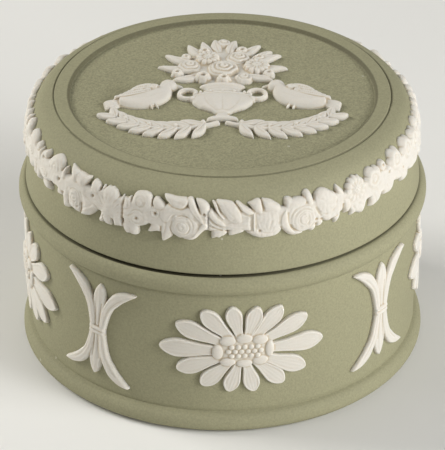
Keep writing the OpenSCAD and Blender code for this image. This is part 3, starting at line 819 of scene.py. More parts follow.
def flower_relief(step):
    """A broad flower: fourteen hollow petals out of a low oval boss of lobes and beads."""
    relief = Relief((-16.2, -10), (16.2, 10), step)
    for x, y, width in PETALS:
        turn = math.atan2(y / FLOWER_HALF[1], x / FLOWER_HALF[0])
        tip = np.array([x, y])
        root = np.array([BOSS_HALF[0] * math.cos(turn), BOSS_HALF[1] * math.sin(turn)])
        stations = [(*(root + (tip - root) * t), width / 2 * swell) for t, swell in PETAL_SWELL]
        relief.press(ribbon(stations, 0.80, dish=0.15, rim=0.10, ribs=5, rib=0.012), (0, 0), 17, edge=0.3)
    relief.press(ball(5.4, 0.98, 3.3 / 5.4), (0, 0), 5.8, edge=0.4)
    for x, y, half_w, half_h in BOSS_LOBES:
        relief.press(bead(half_w, 0.62, 0.52, half_h / half_w), (x, y), max(half_w, half_h) + 0.3, edge=0.3)
    for row, count in ((-1, 5), (0, 6), (1, 5)):
        for k in range(count):
            x = 0.25 + 1.14 * (k - (count - 1) / 2)
            relief.press(bead(0.6, 0.80, 0.45), (x, 0.92 * row - 0.05), 0.9, edge=0.2)
    return relief


def bead(radius, base, tall, oval=1.0):
    """A bead: a half ball of height tall that stands on clay of height base, oval times as long up."""
    def shape(x, y):
        r = np.hypot(x, y / oval)
        return (radius - r) * min(1, oval), base + tall * np.sqrt(np.clip(1 - (r / radius) ** 2, 0, 1))
    return shape


# Discs of the outer leaf and of the middle leaf: across, up and radius, in millimetres
OUTER_LEAF = ((0.95, 0.2, 0.72), (1.2, 2.2, 0.82), (1.65, 4.4, 0.92), (2.3, 6.1, 1.0), (3.05, 7.25, 1.12),
              (3.95, 8.35, 1.12), (5.35, 9.35, 0.86), (6.5, 9.9, 0.5), (7.3, 10.15, 0.2))
MIDDLE_LEAF = ((0.0, 0.0, 0.75), (0.0, 2.5, 1.0), (0.0, 5.0, 1.4), (0.0, 6.8, 1.5), (0.0, 8.2, 1.15),
               (0.0, 9.2, 0.66), (0.0, 9.85, 0.14))
# Grooves beside the middle leaf and along the outer one: places, depth and width
LEAF_FOLDS = ((((0.45, 1.0), (0.5, 3.6), (0.75, 6.0)), 0.13, 0.13),
              (((1.3, 1.2), (2.0, 4.6), (3.3, 7.0), (4.7, 8.5)), 0.07, 0.14))


def tied_leaf_relief(step):
    """Three leaves up and three down, the outer ones bowed outwards, under a double tie."""
    relief = Relief((-8.6, -11), (8.6, 11), step)
    for up in (-1, 1):
        middle = [(x + 0.1 * up, y * up, r) for x, y, r in MIDDLE_LEAF]
        relief.press(ribbon(middle, 0.74, fall=0.2, ribs=3, rib=0.025), (0, 0), 12, edge=0.35)
        for side in (-1, 1):
            outer = [(x * side, y * up, r) for x, y, r in OUTER_LEAF]
            relief.press(ribbon(outer, 0.95, fall=0.24, dish=0.04, rim=0.03, ribs=3, rib=0.022),
                         (0, 0), 12, edge=0.35)
    for up in (-1, 1):
        for side in (-1, 1):
            for line, depth, width in LEAF_FOLDS:
                relief.fold(*((x * side, y * up) for x, y in line), depth=depth, width=width)
    for z in (-0.36, 0.46):
        relief.press(band(3.4, 0.95, 1.15), (0, z), 3, edge=0.3)
    return relief


def band(width, tall, height):
    """A short round-backed band across the leaves."""
    def shape(x, y):
        inside = np.minimum(width / 2 - np.abs(x), tall / 2 - np.abs(y))
        back = np.sqrt(np.clip(1 - (2 * y / tall) ** 2, 0, 1))
        return inside, height * (0.80 + 0.20 * back) * (1 - 0.15 * (2 * x / width) ** 2)
    return shape


# The garland is pressed in two moulds of a quarter turn each. Its middle lies some way up the side of
# the lid, on a backing of some half width, and its petals lie in three layers with soft edges.
GARLAND_R = 36.2
GARLAND_WALK = 10.8
STRIP_TURN = 90.0
STRIP_START = -94.0
BACKING = 1.9
LOW, MID, HIGH = 1.05, 1.17, 1.29
SOFT = 0.45


class Strip(Relief):
    """A strip of the garland. Places are degrees from the lid's front, and millimetres up."""

    def __init__(self, start, step):
        self.start = start
        self.end = math.radians(STRIP_TURN) * GARLAND_R
        super().__init__((-0.6, -5.4), (self.end + 0.6, 5.0), step)

    def at(self, turn, up):
        """A place as millimetres along the strip and up."""
        return (math.radians(turn - self.start) * GARLAND_R, up)

    def backing(self, seed):
        """The backing under the flowers, with a wavy edge."""
        wave = 0.25 * ripple(self.u, self.v * 0, 4.0, seed)
        ends = np.minimum(self.u + 0.1, self.end + 0.1 - self.u)
        inside = np.minimum(BACKING + wave - np.abs(self.v), ends)
        self.inside = np.maximum(self.inside, inside)
        self.height = np.maximum(self.height, np.where(inside > 0, rise(inside, SOFT), 0))

    def bloom(self, shape, turn, up, radius, rotate=0.0):
        """A round bloom at a place."""
        self.press(shape, self.at(turn, up), room(radius), rotate, SOFT)

    def button(self, turn, up, radius, height=HIGH):
        """A ring bloom: a round cushion with a raised ring on it and a pit in its middle."""
        self.bloom(ball(radius, height - 0.16), turn, up, radius)
        self.bloom(hoop(radius * 0.66, radius * 0.36, height), turn, up, radius)
        self.fold((turn, up), (turn + 0.1, up), depth=0.3, width=0.24 * radius)

    def wear(self, seed):
        """The pressed look of the whole strip: soft creases, a low outline and slight unevenness."""
        self.soften(0.72)
        ends = (np.abs(self.u - self.end / 2) > self.end / 2 - 0.3) & (np.abs(self.v) < 1.8)
        self.taper(0.52, held=ends)
        self.height += 0.02 * ripple(self.u, self.v, 1.1, seed) * (self.height > 0.3)


def strip_relief_a(step):
    """The first mould: roses, ring blooms, a rosebud, a hanging bud, a carnation and the great rose."""
    strip = Strip(STRIP_START, step)
    petal, fold, bloom, button = strip.petal, strip.fold, strip.bloom, strip.button
    strip.backing(3)
    # Two roses and a daisy, round the left side
    petal(LOW, (-93.8, 0.4), (-93.2, 2.9), (-91.8, 3.8), (-90.2, 3.3), (-89.6, 1.2))
    petal(LOW, (-93.7, -0.2), (-92.9, -2.9), (-91.2, -3.8), (-89.3, -3.0), (-89.4, -0.6))
    bloom(rose(2.3, HIGH, 0.5, 40, hollow=0.13), -90.9, 0.2, 2.3)
    petal(LOW, (-87.6, -1.8), (-86.9, -3.6), (-85.0, -3.9), (-83.0, -3.4), (-82.2, -1.8), (-84.6, -0.8))
    bloom(daisy_bloom(2.3, HIGH, 11), -84.8, -0.7, 2.3)
    button(-86.8, 2.5, 1.2)
    petal(MID, (-84.4, 1.6), (-83.9, 3.4), (-82.6, 3.9), (-81.6, 3.0), (-82.2, 1.4))
    petal(LOW, (-81.8, 2.2), (-80.8, 3.9), (-78.6, 4.0), (-77.3, 2.8), (-78.4, 1.2))
    petal(LOW, (-81.2, -1.0), (-80.9, -3.6), (-79.7, -4.2), (-78.8, -2.8), (-78.6, -0.8))
    bloom(rose(2.1, HIGH, 0.48, 200, hollow=0.13), -79.6, 0.9, 2.1)
    button(-77.0, -2.2, 1.2)
    # Wide rose and the small blooms after it
    petal(LOW, (-75.9, 0.8), (-75.4, 3.1), (-73.6, 3.9), (-71.0, 3.6), (-69.7, 2.4), (-71.4, 0.9))
    petal(LOW, (-75.9, 0.4), (-75.2, -2.4), (-72.8, -3.6), (-70.4, -3.0), (-69.3, -1.3), (-71.4, 0.0))
    bloom(rose(2.4, HIGH, 0.5, 60, hollow=0.13), -72.2, 0.4, 2.4)
    button(-67.6, 2.3, 1.05)
    petal(MID, (-69.2, -0.9), (-69.1, -2.8), (-68.0, -3.65), (-66.8, -3.2), (-66.4, -1.5), (-67.4, -0.4))
    petal(MID, (-66.8, -1.2), (-66.6, -3.1), (-65.6, -3.75), (-64.3, -3.4), (-63.7, -2.4), (-64.8, -0.9))
    bloom(rose(1.5, MID, 0.46, 20, hollow=0.12), -67.6, 0.0, 1.5)
    petal(MID, (-66.1, 0.3), (-66.3, 1.7), (-65.5, 2.9), (-64.6, 2.2), (-64.4, 0.6))
    petal(MID, (-62.6, 3.1), (-61.5, 3.5), (-60.6, 3.0), (-60.9, 1.8), (-62.3, 1.9))
    button(-63.0, 1.6, 1.3, MID + 0.05)
    petal(LOW, (-62.4, -2.3), (-62.3, -3.4), (-60.6, -3.95), (-58.6, -3.8), (-57.8, -3.0), (-59.4, -2.0))
    bloom(rose(2.6, HIGH, 0.6, 300, hollow=0.12, tall=0.6), -61.6, -1.1, 2.6, 4)
    # Rosebud and the leaves under it
    petal(MID, (-60.0, 1.9), (-58.6, 3.1), (-57.2, 3.85), (-55.8, 4.25), (-54.4, 4.05), (-53.0, 3.4),
          (-52.4, 2.4), (-53.0, 0.9), (-55.5, 0.2), (-58.5, 0.4), lean=(0.0, 0.05))
    fold((-58.6, 1.0), (-58.0, 2.4), (-56.2, 3.2), (-54.4, 2.8), (-53.8, 1.5))
    fold((-57.2, 0.8), (-56.9, 1.8), (-55.8, 2.2), (-55.0, 1.5), depth=0.1)
    petal(LOW, (-57.4, 0.4), (-57.6, -1.4), (-56.4, -2.2), (-55.2, -1.6), (-54.8, 0.0))
    button(-53.7, 0.0, 1.45, MID)
    petal(LOW, (-54.8, -3.1), (-53.9, -1.4), (-52.0, -1.5), (-51.3, -2.7), (-53.0, -3.1))
    petal(MID, (-52.1, 2.6), (-51.2, 3.15), (-50.5, 2.7), (-50.3, 1.4), (-51.2, 0.4), (-52.6, 0.9))
    petal(MID, (-50.8, 1.2), (-48.6, 1.9), (-45.4, 1.7), (-42.2, 1.5), (-41.4, -0.2), (-44.0, -0.8),
          (-49.0, -0.6), (-51.0, -0.1))
    # Two striped leaves over the hanging bud
    petal(HIGH, (-49.8, 3.95), (-48.6, 3.85), (-46.3, 3.55), (-45.2, 3.4), (-45.0, 2.0), (-46.2, 1.1),
          (-47.9, 1.6), (-48.8, 2.6), lean=(0.0, 0.04))
    petal(HIGH, (-45.4, 3.5), (-43.0, 3.45), (-41.5, 3.55), (-41.2, 3.3), (-41.9, 2.0), (-43.1, 1.0),
          (-45.2, 1.2), (-46.0, 2.3), lean=(0.0, 0.04))
    fold((-49.0, 3.5), (-47.4, 2.6), (-46.4, 1.6), depth=0.08)
    fold((-47.6, 3.5), (-46.4, 2.6), (-45.8, 1.6), depth=0.08)
    fold((-44.6, 3.2), (-44.4, 2.2), (-44.6, 1.4), depth=0.07)
    fold((-43.0, 3.2), (-43.1, 2.2), (-43.6, 1.3), depth=0.07)
    fold((-45.5, 3.5), (-45.6, 2.4), (-46.1, 1.4), depth=0.08)
    # Hanging bud in its sheath
    petal(MID, (-51.2, -1.7), (-51.3, -3.2), (-50.9, -4.55), (-49.9, -4.7), (-48.6, -4.3), (-47.7, -3.9),
          (-48.2, -2.0), (-49.2, -0.6), (-50.6, -0.9))
    petal(MID + 0.08, (-43.9, -4.3), (-42.0, -4.25), (-40.2, -3.8), (-38.6, -2.9), (-37.4, -1.9),
          (-38.2, -0.9), (-40.2, -0.6), (-42.5, 0.2), (-44.2, 0.3), (-43.2, -1.6), (-43.2, -3.2))
    petal(HIGH, (-49.2, -0.4), (-48.9, -2.2), (-48.2, -3.6), (-46.5, -4.1), (-44.4, -4.3), (-43.2, -3.4),
          (-43.2, -1.2), (-44.0, 0.4), (-45.9, 0.9), (-48.0, 0.6), fall=0.32)
    fold((-48.3, -3.2), (-48.2, -1.5), (-47.2, -0.3), (-45.6, -0.2), (-44.6, -1.4), (-44.6, -3.0), depth=0.1)
    fold((-47.0, -3.2), (-47.2, -1.8), (-46.3, -1.0), (-45.6, -1.8), (-45.8, -3.0), depth=0.08)
    fold((-43.6, 0.2), (-42.4, -1.0), (-42.2, -2.2), (-43.2, -3.6), depth=0.07)
    fold((-44.0, -3.9), (-41.5, -3.1), (-39.0, -2.2), depth=0.1)
    fold((-42.6, -3.0), (-41.2, -2.2), (-39.6, -1.6), depth=0.08)
    button(-39.3, 0.4, 1.15, MID + 0.05)
    petal(MID, (-40.3, 2.9), (-39.6, 3.45), (-38.4, 3.3), (-37.2, 2.7), (-36.9, 1.6), (-37.6, 0.9),
          (-39.4, 1.3), (-40.5, 1.8))
    petal(LOW, (-39.4, -0.4), (-37.4, 0.6), (-36.2, -0.2), (-36.6, -1.6), (-38.2, -1.6))
    # Carnation, with a frill that hangs in two halves
    petal(LOW, (-36.4, 2.9), (-35.7, 3.0), (-35.4, 1.8), (-35.9, 0.9), (-36.5, 1.6))
    petal(MID - 0.04, (-36.0, -0.8), (-36.5, -2.4), (-37.15, -3.5), (-36.9, -4.2), (-35.9, -4.2),
          (-35.1, -3.85), (-34.4, -4.25), (-33.2, -4.25), (-32.55, -3.9), (-32.4, -2.4), (-33.4, -0.8))
    petal(MID - 0.04, (-32.4, -1.2), (-32.1, -3.2), (-31.9, -4.05), (-30.4, -3.9), (-29.0, -3.75),
          (-28.8, -3.2), (-29.3, -1.4), (-30.8, -0.6))
    petal(MID + 0.06, (-36.3, 0.5), (-36.4, 1.5), (-36.0, 2.3), (-35.2, 2.8), (-34.5, 3.2),
          (-33.7, 3.15), (-33.0, 3.3), (-32.2, 3.05), (-31.6, 2.85), (-31.0, 2.3), (-30.5, 1.9), (-30.3, 1.2),
          (-29.9, 0.4), (-30.0, -0.5), (-29.8, -1.4), (-30.5, -2.2), (-31.6, -2.8), (-33.2, -2.7),
          (-35.2, -2.7), (-36.4, -1.8), (-36.2, -0.7), fall=0.35)
    fold((-35.1, -2.6), (-35.1, -4.1), depth=0.3, width=0.14)
    # Small leaves between the carnation and the roses
    petal(LOW, (-29.9, 1.0), (-29.7, 2.1), (-29.2, 2.5), (-28.9, 1.9), (-29.1, 1.0))
    petal(MID, (-28.6, 0.6), (-27.9, 1.9), (-27.3, 2.45), (-26.5, 2.5), (-26.3, 0.8), (-27.6, 0.0))
    fold((-28.9, 1.7), (-29.1, 0.6), (-29.1, -1.2), (-29.0, -2.2), depth=0.5, width=0.24)
    fold((-27.2, 2.0), (-27.4, 0.8), depth=0.12)
    # Cupped rose over an oval one
    petal(LOW, (-28.8, -2.6), (-28.8, -3.9), (-27.9, -4.75), (-26.9, -4.65), (-26.2, -4.75), (-25.0, -4.75),
          (-24.0, -4.3), (-23.8, -3.3), (-24.6, -2.2))
    petal(MID, (-28.5, 0.2), (-28.8, -1.6), (-28.2, -2.9), (-26.4, -3.0), (-24.5, -2.9), (-22.7, -2.6),
          (-21.2, -2.0), (-20.7, -1.2), (-21.0, -0.2), (-22.5, 0.5), (-26.0, 0.6), fall=0.2)
    petal(MID + 0.06, (-26.4, 1.4), (-26.0, 3.0), (-25.0, 3.7), (-23.3, 3.95), (-21.6, 3.9), (-20.6, 3.4),
          (-20.0, 2.4), (-20.1, 1.0), (-21.2, 0.3), (-23.6, 0.2), (-25.6, 0.4), cup=0.05)
    fold((-24.6, 1.3), (-24.6, 2.4), (-23.4, 3.0), (-22.2, 2.4), (-22.4, 1.6), (-23.4, 1.3), depth=0.1)
    fold((-23.8, 1.2), (-22.9, 1.5), (-22.5, 2.0), depth=0.12, width=0.2)
    fold((-26.8, -1.1), (-25.6, -0.4), (-23.4, -0.4), (-22.3, -1.2), (-23.6, -2.0), (-25.6, -1.9), depth=0.07)
    fold((-24.7, -1.1), (-24.1, -1.1), depth=0.2, width=0.22)
    fold((-26.4, -4.6), (-26.4, -3.4), depth=0.2, width=0.14)
    # Ring bloom and the petals and leaves round it
    petal(LOW, (-21.4, -3.35), (-20.5, -3.5), (-18.6, -3.15), (-17.4, -3.0), (-17.2, -1.5), (-18.3, -0.9),
          (-19.8, -1.0), (-20.6, -2.2))
    petal(MID, (-20.1, 2.4), (-19.6, 3.3), (-18.3, 3.35), (-17.2, 2.9), (-16.2, 2.3), (-15.6, 1.7),
          (-17.3, 1.2), (-19.3, 1.4))
    petal(MID, (-17.6, 1.4), (-15.5, 2.4), (-12.0, 2.0), (-9.3, 2.4), (-7.5, 1.0), (-8.5, 0.1), (-11.0, 0.8),
          (-13.5, 0.6), (-15.1, -0.9), (-16.9, -0.9), (-17.9, 0.2), fall=0.12)
    petal(MID - 0.06, (-17.3, -1.5), (-17.35, -3.4), (-17.1, -4.6), (-16.6, -4.8), (-15.3, -4.3),
          (-13.9, -3.4), (-14.3, -1.8), (-15.4, -0.8), (-16.6, -0.7))
    fold((-15.9, -0.9), (-15.9, -2.0), (-16.2, -3.0), depth=0.16)
    button(-19.1, 0.5, 1.4, HIGH - 0.02)
    # Long leaf and the petals over the great rose
    petal(HIGH, (-17.0, 4.0), (-15.8, 4.15), (-13.0, 3.95), (-10.2, 3.9), (-9.4, 3.0), (-11.0, 1.9),
          (-13.5, 1.9), (-15.2, 2.5), (-16.4, 3.1), fall=0.2)
    fold((-15.4, 3.1), (-13.0, 2.9), (-10.4, 2.5), depth=0.08)
    petal(HIGH - 0.04, (-7.7, 3.75), (-6.8, 3.9), (-5.3, 3.7), (-4.0, 3.1), (-3.4, 2.4), (-3.6, 1.4),
          (-4.2, 0.2), (-5.2, 0.2), (-6.0, 0.9), (-6.8, 2.3), cup=0.06)
    petal(MID + 0.04, (-9.9, 3.95), (-8.8, 4.1), (-8.1, 3.6), (-7.1, 2.5), (-5.7, 1.0), (-4.8, -0.1),
          (-4.6, -0.8), (-5.7, -0.8), (-7.6, 0.4), (-9.2, 1.7), (-10.0, 3.1), fall=0.1)
    fold((-7.75, 3.7), (-7.0, 2.5), (-6.0, 1.3), depth=0.34, width=0.15)
    fold((-9.3, 3.2), (-8.0, 1.9), (-6.4, 0.4), depth=0.07)
    fold((-5.2, 1.3), (-5.0, 1.2), depth=0.16, width=0.26)
    # Great rose in its wrap
    petal(HIGH - 0.04, (-13.4, 0.9), (-14.5, -0.2), (-14.55, -1.7), (-13.9, -2.8), (-12.9, -3.5),
          (-11.4, -3.75), (-10.8, -2.0), (-11.4, 0.6))
    petal(HIGH + 0.06, (-3.8, -0.8), (-4.4, -1.6), (-5.9, -2.6), (-7.1, -3.5), (-8.4, -3.95), (-10.6, -3.85),
          (-11.2, -3.4), (-8.5, -2.8), (-7.0, -1.4), (-5.7, -0.2), (-4.5, -0.2), rim=0.08)
    petal(HIGH, (-9.4, 0.9), (-7.4, 0.1), (-6.2, -1.0), (-6.6, -2.6), (-8.4, -3.3), (-10.6, -3.4),
          (-10.6, 0.2))
    bloom(ball(2.35, 1.5), -11.2, -1.45, 2.35)
    strip.wear(5)
    strip.pits((-24.6, -1.1), (-19.1, 0.5), (-5.15, 1.25), (-39.3, 0.4), (-53.7, 0.0), (-63.0, 1.6),
               depth=0.36, width=0.25)
    strip.whorl(-11.3, -1.45, (0.3, 0.65, 1.0, 1.35, 1.7, 2.1), depth=0.1)
    strip.whorl(-46.2, -1.3, (0.5, 0.95, 1.45, 2.0), depth=0.08)
    strip.whorl(-23.6, 2.0, (0.4, 0.85, 1.4), depth=0.06)
    strip.whorl(-24.6, -1.1, (0.5, 1.0, 1.5), depth=0.06)
    strip.rays(-33.0, -1.4, 4.6, 19, depth=0.065)
    return strip


def strip_relief_b(step):
    """The second mould: a lily, a frilled bell, a cabbage rose, a poppy, a daisy and small flowers."""
    strip = Strip(STRIP_START + STRIP_TURN, step)
    petal, fold, bloom, button = strip.petal, strip.fold, strip.bloom, strip.button
    strip.backing(8)
    # Leaves under the lily
    petal(LOW, (-3.1, -1.9), (-3.1, -3.4), (-2.6, -3.5), (-1.7, -3.3), (-0.9, -3.4), (-0.2, -3.1),
          (0.8, -2.8), (1.4, -2.1), (0.5, -1.6), (-1.5, -1.4))
    petal(LOW, (1.6, -1.6), (1.7, -2.8), (2.4, -2.95), (4.0, -2.7), (6.0, -2.25), (5.5, -1.5), (3.4, -1.2))
    # Lily that opens to the right
    petal(MID, (-3.0, 3.45), (-2.2, 3.6), (-1.5, 3.2), (-0.6, 1.9), (0.9, 0.7), (0.0, 0.3), (-1.5, 1.4))
    petal(HIGH, (-1.8, 3.7), (0.5, 3.8), (2.6, 3.55), (3.4, 3.2), (4.4, 2.6), (5.5, 1.3), (5.6, -0.4),
          (3.4, -0.6), (1.0, 0.4), (-0.7, 1.9), fall=0.2)
    petal(HIGH, (-4.5, 2.0), (-3.0, 2.3), (-1.5, 1.2), (0.4, 0.1), (1.4, -1.0), (-1.5, -0.8), (-3.3, 0.2),
          (-4.1, 0.9), fall=0.2)
    petal(HIGH - 0.04, (3.7, 3.4), (4.6, 3.55), (6.0, 2.9), (7.5, 2.3), (9.0, 1.6), (8.6, 1.1), (7.2, 1.0),
          (5.5, 1.6), (4.4, 2.5))
    petal(MID, (-4.1, -0.2), (-3.4, 0.2), (-1.8, -0.7), (0.4, -1.2), (0.4, -1.9), (-2.2, -1.3))
    petal(HIGH - 0.06, (0.2, -0.4), (2.6, 0.0), (5.4, 0.7), (8.6, 1.4), (8.9, -0.2), (8.6, -2.0), (6.0, -2.0),
          (3.0, -1.9), (1.0, -1.6), fall=0.28)
    petal(HIGH + 0.06, (8.3, 1.3), (9.2, 1.2), (9.3, -0.3), (9.1, -1.9), (8.3, -2.0), (8.1, -0.4), rim=0.06)
    fold((-3.2, 3.4), (-2.2, 2.1), (-1.2, 1.3), depth=0.4, width=0.15)
    fold((-1.6, 3.4), (-0.4, 1.9), (1.0, 0.8), depth=0.18)
    fold((0.2, 3.4), (1.4, 2.0), (3.2, 0.9), depth=0.06)
    fold((3.4, 3.2), (4.4, 2.3), (5.8, 1.4), (7.4, 0.9), depth=0.16)
    fold((-3.6, 0.6), (-2.4, -0.2), (-0.8, -0.8), depth=0.22)
    fold((-3.6, -0.9), (-1.8, -1.3), (-0.2, -1.5), depth=0.3)
    for up in (0.7, -0.1, -0.9, -1.5):
        fold((1.2, up * 0.5 - 0.3), (4.6, up * 0.9 - 0.1), (7.6, up), depth=0.06, width=0.15)
    fold((7.9, 1.0), (7.8, -0.3), (7.9, -1.7), depth=0.2, width=0.22)
    # Frilled bell
    petal(MID, (7.1, 3.1), (8.5, 3.5), (9.8, 3.8), (10.9, 3.6), (11.3, 2.6), (11.3, 1.2), (9.4, 1.1),
          (8.7, 1.7), (7.8, 2.5))
    petal(MID, (11.2, 3.6), (12.5, 3.65), (13.9, 3.4), (15.3, 2.8), (16.6, 2.1), (16.4, 1.2), (15.8, 0.7),
          (13.5, 1.0), (11.4, 1.6), lean=(0.0, 0.03))
    petal(MID, (15.9, 0.8), (16.1, -1.2), (16.6, -2.4), (15.8, -3.2), (14.5, -3.6), (12.0, -3.75),
          (10.5, -3.7), (9.0, -3.4), (7.8, -2.9), (6.5, -2.2), (9.0, -1.4), (12.0, -0.4), fall=0.2)
    petal(HIGH - 0.02, (9.3, 1.5), (12.0, 1.8), (14.6, 1.7), (15.9, 0.9), (16.0, -0.8), (15.0, -2.0),
          (12.4, -2.2), (10.0, -1.9), (9.2, -0.4), fall=0.2)
    fold((11.1, 3.5), (11.3, 2.6), (11.6, 2.0), depth=0.45, width=0.15)
    fold((6.9, 2.9), (7.9, 2.3), (8.9, 1.6), depth=0.3, width=0.15)
    fold((13.4, 1.1), (13.6, -0.2), (13.3, -1.5), depth=0.06, width=0.22)
    fold((11.0, 0.7), (11.2, -0.4), (10.8, -1.4), depth=0.05, width=0.5)
    fold((9.6, 1.4), (10.0, 1.2), depth=0.18, width=0.3)
    fold((8.4, -2.2), (10.4, -2.3), (13.4, -2.6), (15.6, -2.2), depth=0.14)
    for turn in (8.8, 10.6, 12.1, 14.0):
        fold((turn, -2.7), (turn - 0.2, -3.6), depth=0.05, width=0.16)
    bloom(hoop(0.6, 0.34, MID + 0.08), 10.2, -2.0, 0.7)
    # Cabbage rose and the petals round it
    petal(LOW, (17.6, 2.2), (17.7, 3.2), (18.5, 3.5), (19.7, 3.3), (20.6, 2.6), (19.2, 1.4), (18.0, 1.4))
    petal(MID - 0.04, (20.0, 3.0), (21.6, 3.15), (23.5, 2.9), (24.4, 2.2), (23.4, 1.2), (20.4, 0.6),
          (18.8, 0.2), (18.5, 1.6), (19.0, 2.5))
    petal(MID + 0.06, (23.4, 3.4), (24.2, 4.0), (25.4, 3.95), (26.1, 3.2), (26.4, 2.2), (26.0, 1.2),
          (24.5, 1.3), (23.7, 2.4))
    petal(LOW, (24.6, -3.3), (25.0, -3.9), (26.1, -3.95), (26.9, -3.0), (25.9, -2.4))
    petal(LOW, (26.7, -2.6), (27.0, -3.3), (28.2, -3.4), (29.3, -2.7), (28.4, -1.9), (27.2, -1.8))
    petal(HIGH - 0.02, (18.2, 1.6), (17.1, 1.2), (16.2, 0.3), (15.9, -1.2), (16.6, -2.3), (17.6, -3.2),
          (19.3, -3.95), (21.5, -4.0), (23.0, -3.75), (21.4, -3.0), (19.6, -2.4), (18.9, -1.2), (18.6, 0.4),
          rim=0.08)
    petal(HIGH + 0.02, (18.8, -0.3), (20.2, 0.8), (22.3, 1.5), (24.2, 1.55), (25.8, 1.0), (26.8, -0.3),
          (27.0, -1.8), (26.0, -3.0), (24.2, -3.6), (21.7, -3.5), (19.8, -2.6), (18.8, -1.4), fall=0.22)
    fold((18.5, 0.6), (18.45, -0.8), (19.0, -2.0), (20.2, -2.9), depth=0.24, width=0.17)
    fold((20.4, -2.4), (20.1, -1.0), (21.2, 0.4), (23.2, 0.9), (25.1, 0.2), (25.7, -1.4), depth=0.09)
    fold((24.3, -0.2), (24.5, -1.1), (24.2, -2.1), depth=0.16, width=0.2)
    fold((22.0, -2.5), (21.6, -1.2), (22.6, -0.2), (23.6, -0.4), depth=0.07)
    button(26.9, -1.7, 0.95, MID + 0.08)
    # Poppy
    petal(LOW + 0.06, (28.3, -1.0), (29.3, -2.5), (31.0, -3.0), (32.2, -2.65), (33.3, -2.45), (34.9, -2.3),
          (35.3, -1.2), (34.5, 0.0), (32.0, -0.4))
    petal(LOW, (32.4, -2.4), (32.8, -3.6), (33.6, -3.75), (34.7, -2.9), (35.0, -2.0))
    petal(LOW, (33.8, 2.9), (34.6, 3.45), (35.6, 2.8), (36.7, 2.0), (36.4, 0.9), (35.0, 1.4), (34.0, 2.0))
    petal(HIGH, (26.6, 2.3), (27.3, 3.2), (28.9, 3.65), (30.6, 3.5), (32.2, 2.8), (33.7, 2.1), (34.0, 0.8),
          (33.0, -0.6), (30.8, -1.4), (28.5, -0.9), (27.2, 0.2), (26.6, 1.2), fall=0.2)
    fold((27.0, 0.4), (27.6, -0.4), (28.4, -1.2), depth=0.3, width=0.2)
    fold((28.8, 2.0), (30.2, 0.8), (31.8, 0.4), depth=0.05, width=0.3)
    fold((35.9, -0.5), (35.9, -1.4), (35.6, -2.3), depth=0.6, width=0.17)
    fold((33.0, -1.8), (33.9, -2.2), (34.7, -1.8), depth=0.12)
    petal(MID, (35.3, 0.6), (36.9, 0.7), (38.3, 0.2), (38.6, -1.2), (38.0, -2.4), (36.6, -2.6), (36.1, -1.8),
          (36.0, -0.4))
    # Daisy and its leaves
    petal(LOW + 0.04, (37.4, -0.8), (38.3, -2.2), (38.4, -3.4), (39.4, -3.5), (40.3, -3.3), (41.5, -3.6),
          (42.7, -3.95), (43.9, -3.5), (44.7, -2.4), (45.2, -1.4), (43.4, -0.2), (40.0, 0.2))
    fold((39.3, -1.6), (40.0, -2.4), (40.3, -3.3), depth=0.14)
    fold((41.4, -1.4), (42.6, -2.0), (43.2, -2.8), depth=0.12, width=0.22)
    bloom(daisy_bloom(2.5, HIGH - 0.02, 12), 40.9, 1.35, 2.5)
    # Small flowers, each over leaves that hang under the garland
    petal(LOW + 0.04, (46.6, -1.0), (46.2, -2.4), (45.9, -3.4), (47.2, -3.75), (49.2, -3.55), (50.6, -3.1),
          (51.4, -2.0), (50.8, -0.6), (48.4, 0.0))
    petal(LOW + 0.04, (51.4, -1.4), (52.0, -2.8), (53.8, -3.15), (55.8, -3.2), (57.4, -2.6), (58.0, -1.6),
          (57.0, -0.2), (54.0, 0.2), (52.0, 0.0))
    petal(LOW + 0.04, (57.8, -0.8), (58.4, -1.8), (60.6, -2.4), (62.2, -2.2), (62.0, -0.8), (60.0, 0.2))
    petal(MID - 0.06, (61.6, -1.2), (62.3, -3.1), (63.8, -3.55), (65.6, -3.4), (66.9, -2.5), (67.2, -1.2),
          (65.0, -0.2))
    petal(LOW + 0.04, (66.8, -0.8), (67.4, -2.3), (69.6, -3.15), (72.0, -3.3), (72.4, -1.6), (70.4, -0.4))
    petal(MID - 0.06, (71.6, -1.4), (72.3, -3.3), (75.4, -3.4), (76.9, -2.6), (76.4, -0.8), (73.6, -0.4))
    petal(MID - 0.06, (77.2, -0.8), (77.6, -3.0), (79.6, -3.8), (81.6, -3.2), (81.8, -1.2), (79.6, -0.2))
    fold((47.6, -1.2), (48.2, -2.2), (48.0, -3.2), depth=0.1)
    fold((53.6, -1.0), (54.2, -2.0), (53.8, -3.0), depth=0.1)
    fold((52.0, -1.9), (52.3, -2.9), depth=0.35, width=0.16)
    fold((64.4, -1.4), (64.8, -2.4), (64.2, -3.2), depth=0.1)
    fold((74.0, -1.4), (74.6, -2.2), (74.2, -3.1), depth=0.1)
    for turn, up, rays in ((48.3, 1.5, 5), (59.8, 2.0, 6), (67.7, 1.9, 5), (74.7, 1.4, 6)):
        bloom(ring_bloom(2.5, MID + 0.06, rays, 20 * rays, 0.2), turn, up, 2.5)
        bloom(rose(1.35, HIGH + 0.02, 0.42, 30 * rays, hollow=0.12), turn, up, 1.35)
    button(53.2, 2.7, 1.15)
    button(55.5, 0.9, 1.25)
    button(63.6, -0.6, 1.2)
    petal(LOW, (78.4, 2.6), (79.4, 3.9), (81.6, 4.0), (83.2, 2.8), (81.0, 1.4))
    bloom(rose(2.2, HIGH, 0.48, 120, hollow=0.13), 80.4, 0.8, 2.2)
    petal(LOW, (82.6, -2.0), (83.4, -3.7), (85.4, -3.6), (86.4, -2.0), (84.6, -0.6))
    button(84.6, -0.6, 1.4)
    petal(MID, (83.4, 2.2), (84.3, 3.6), (85.8, 3.6), (86.4, 2.0), (85.0, 1.0))
    strip.wear(6)
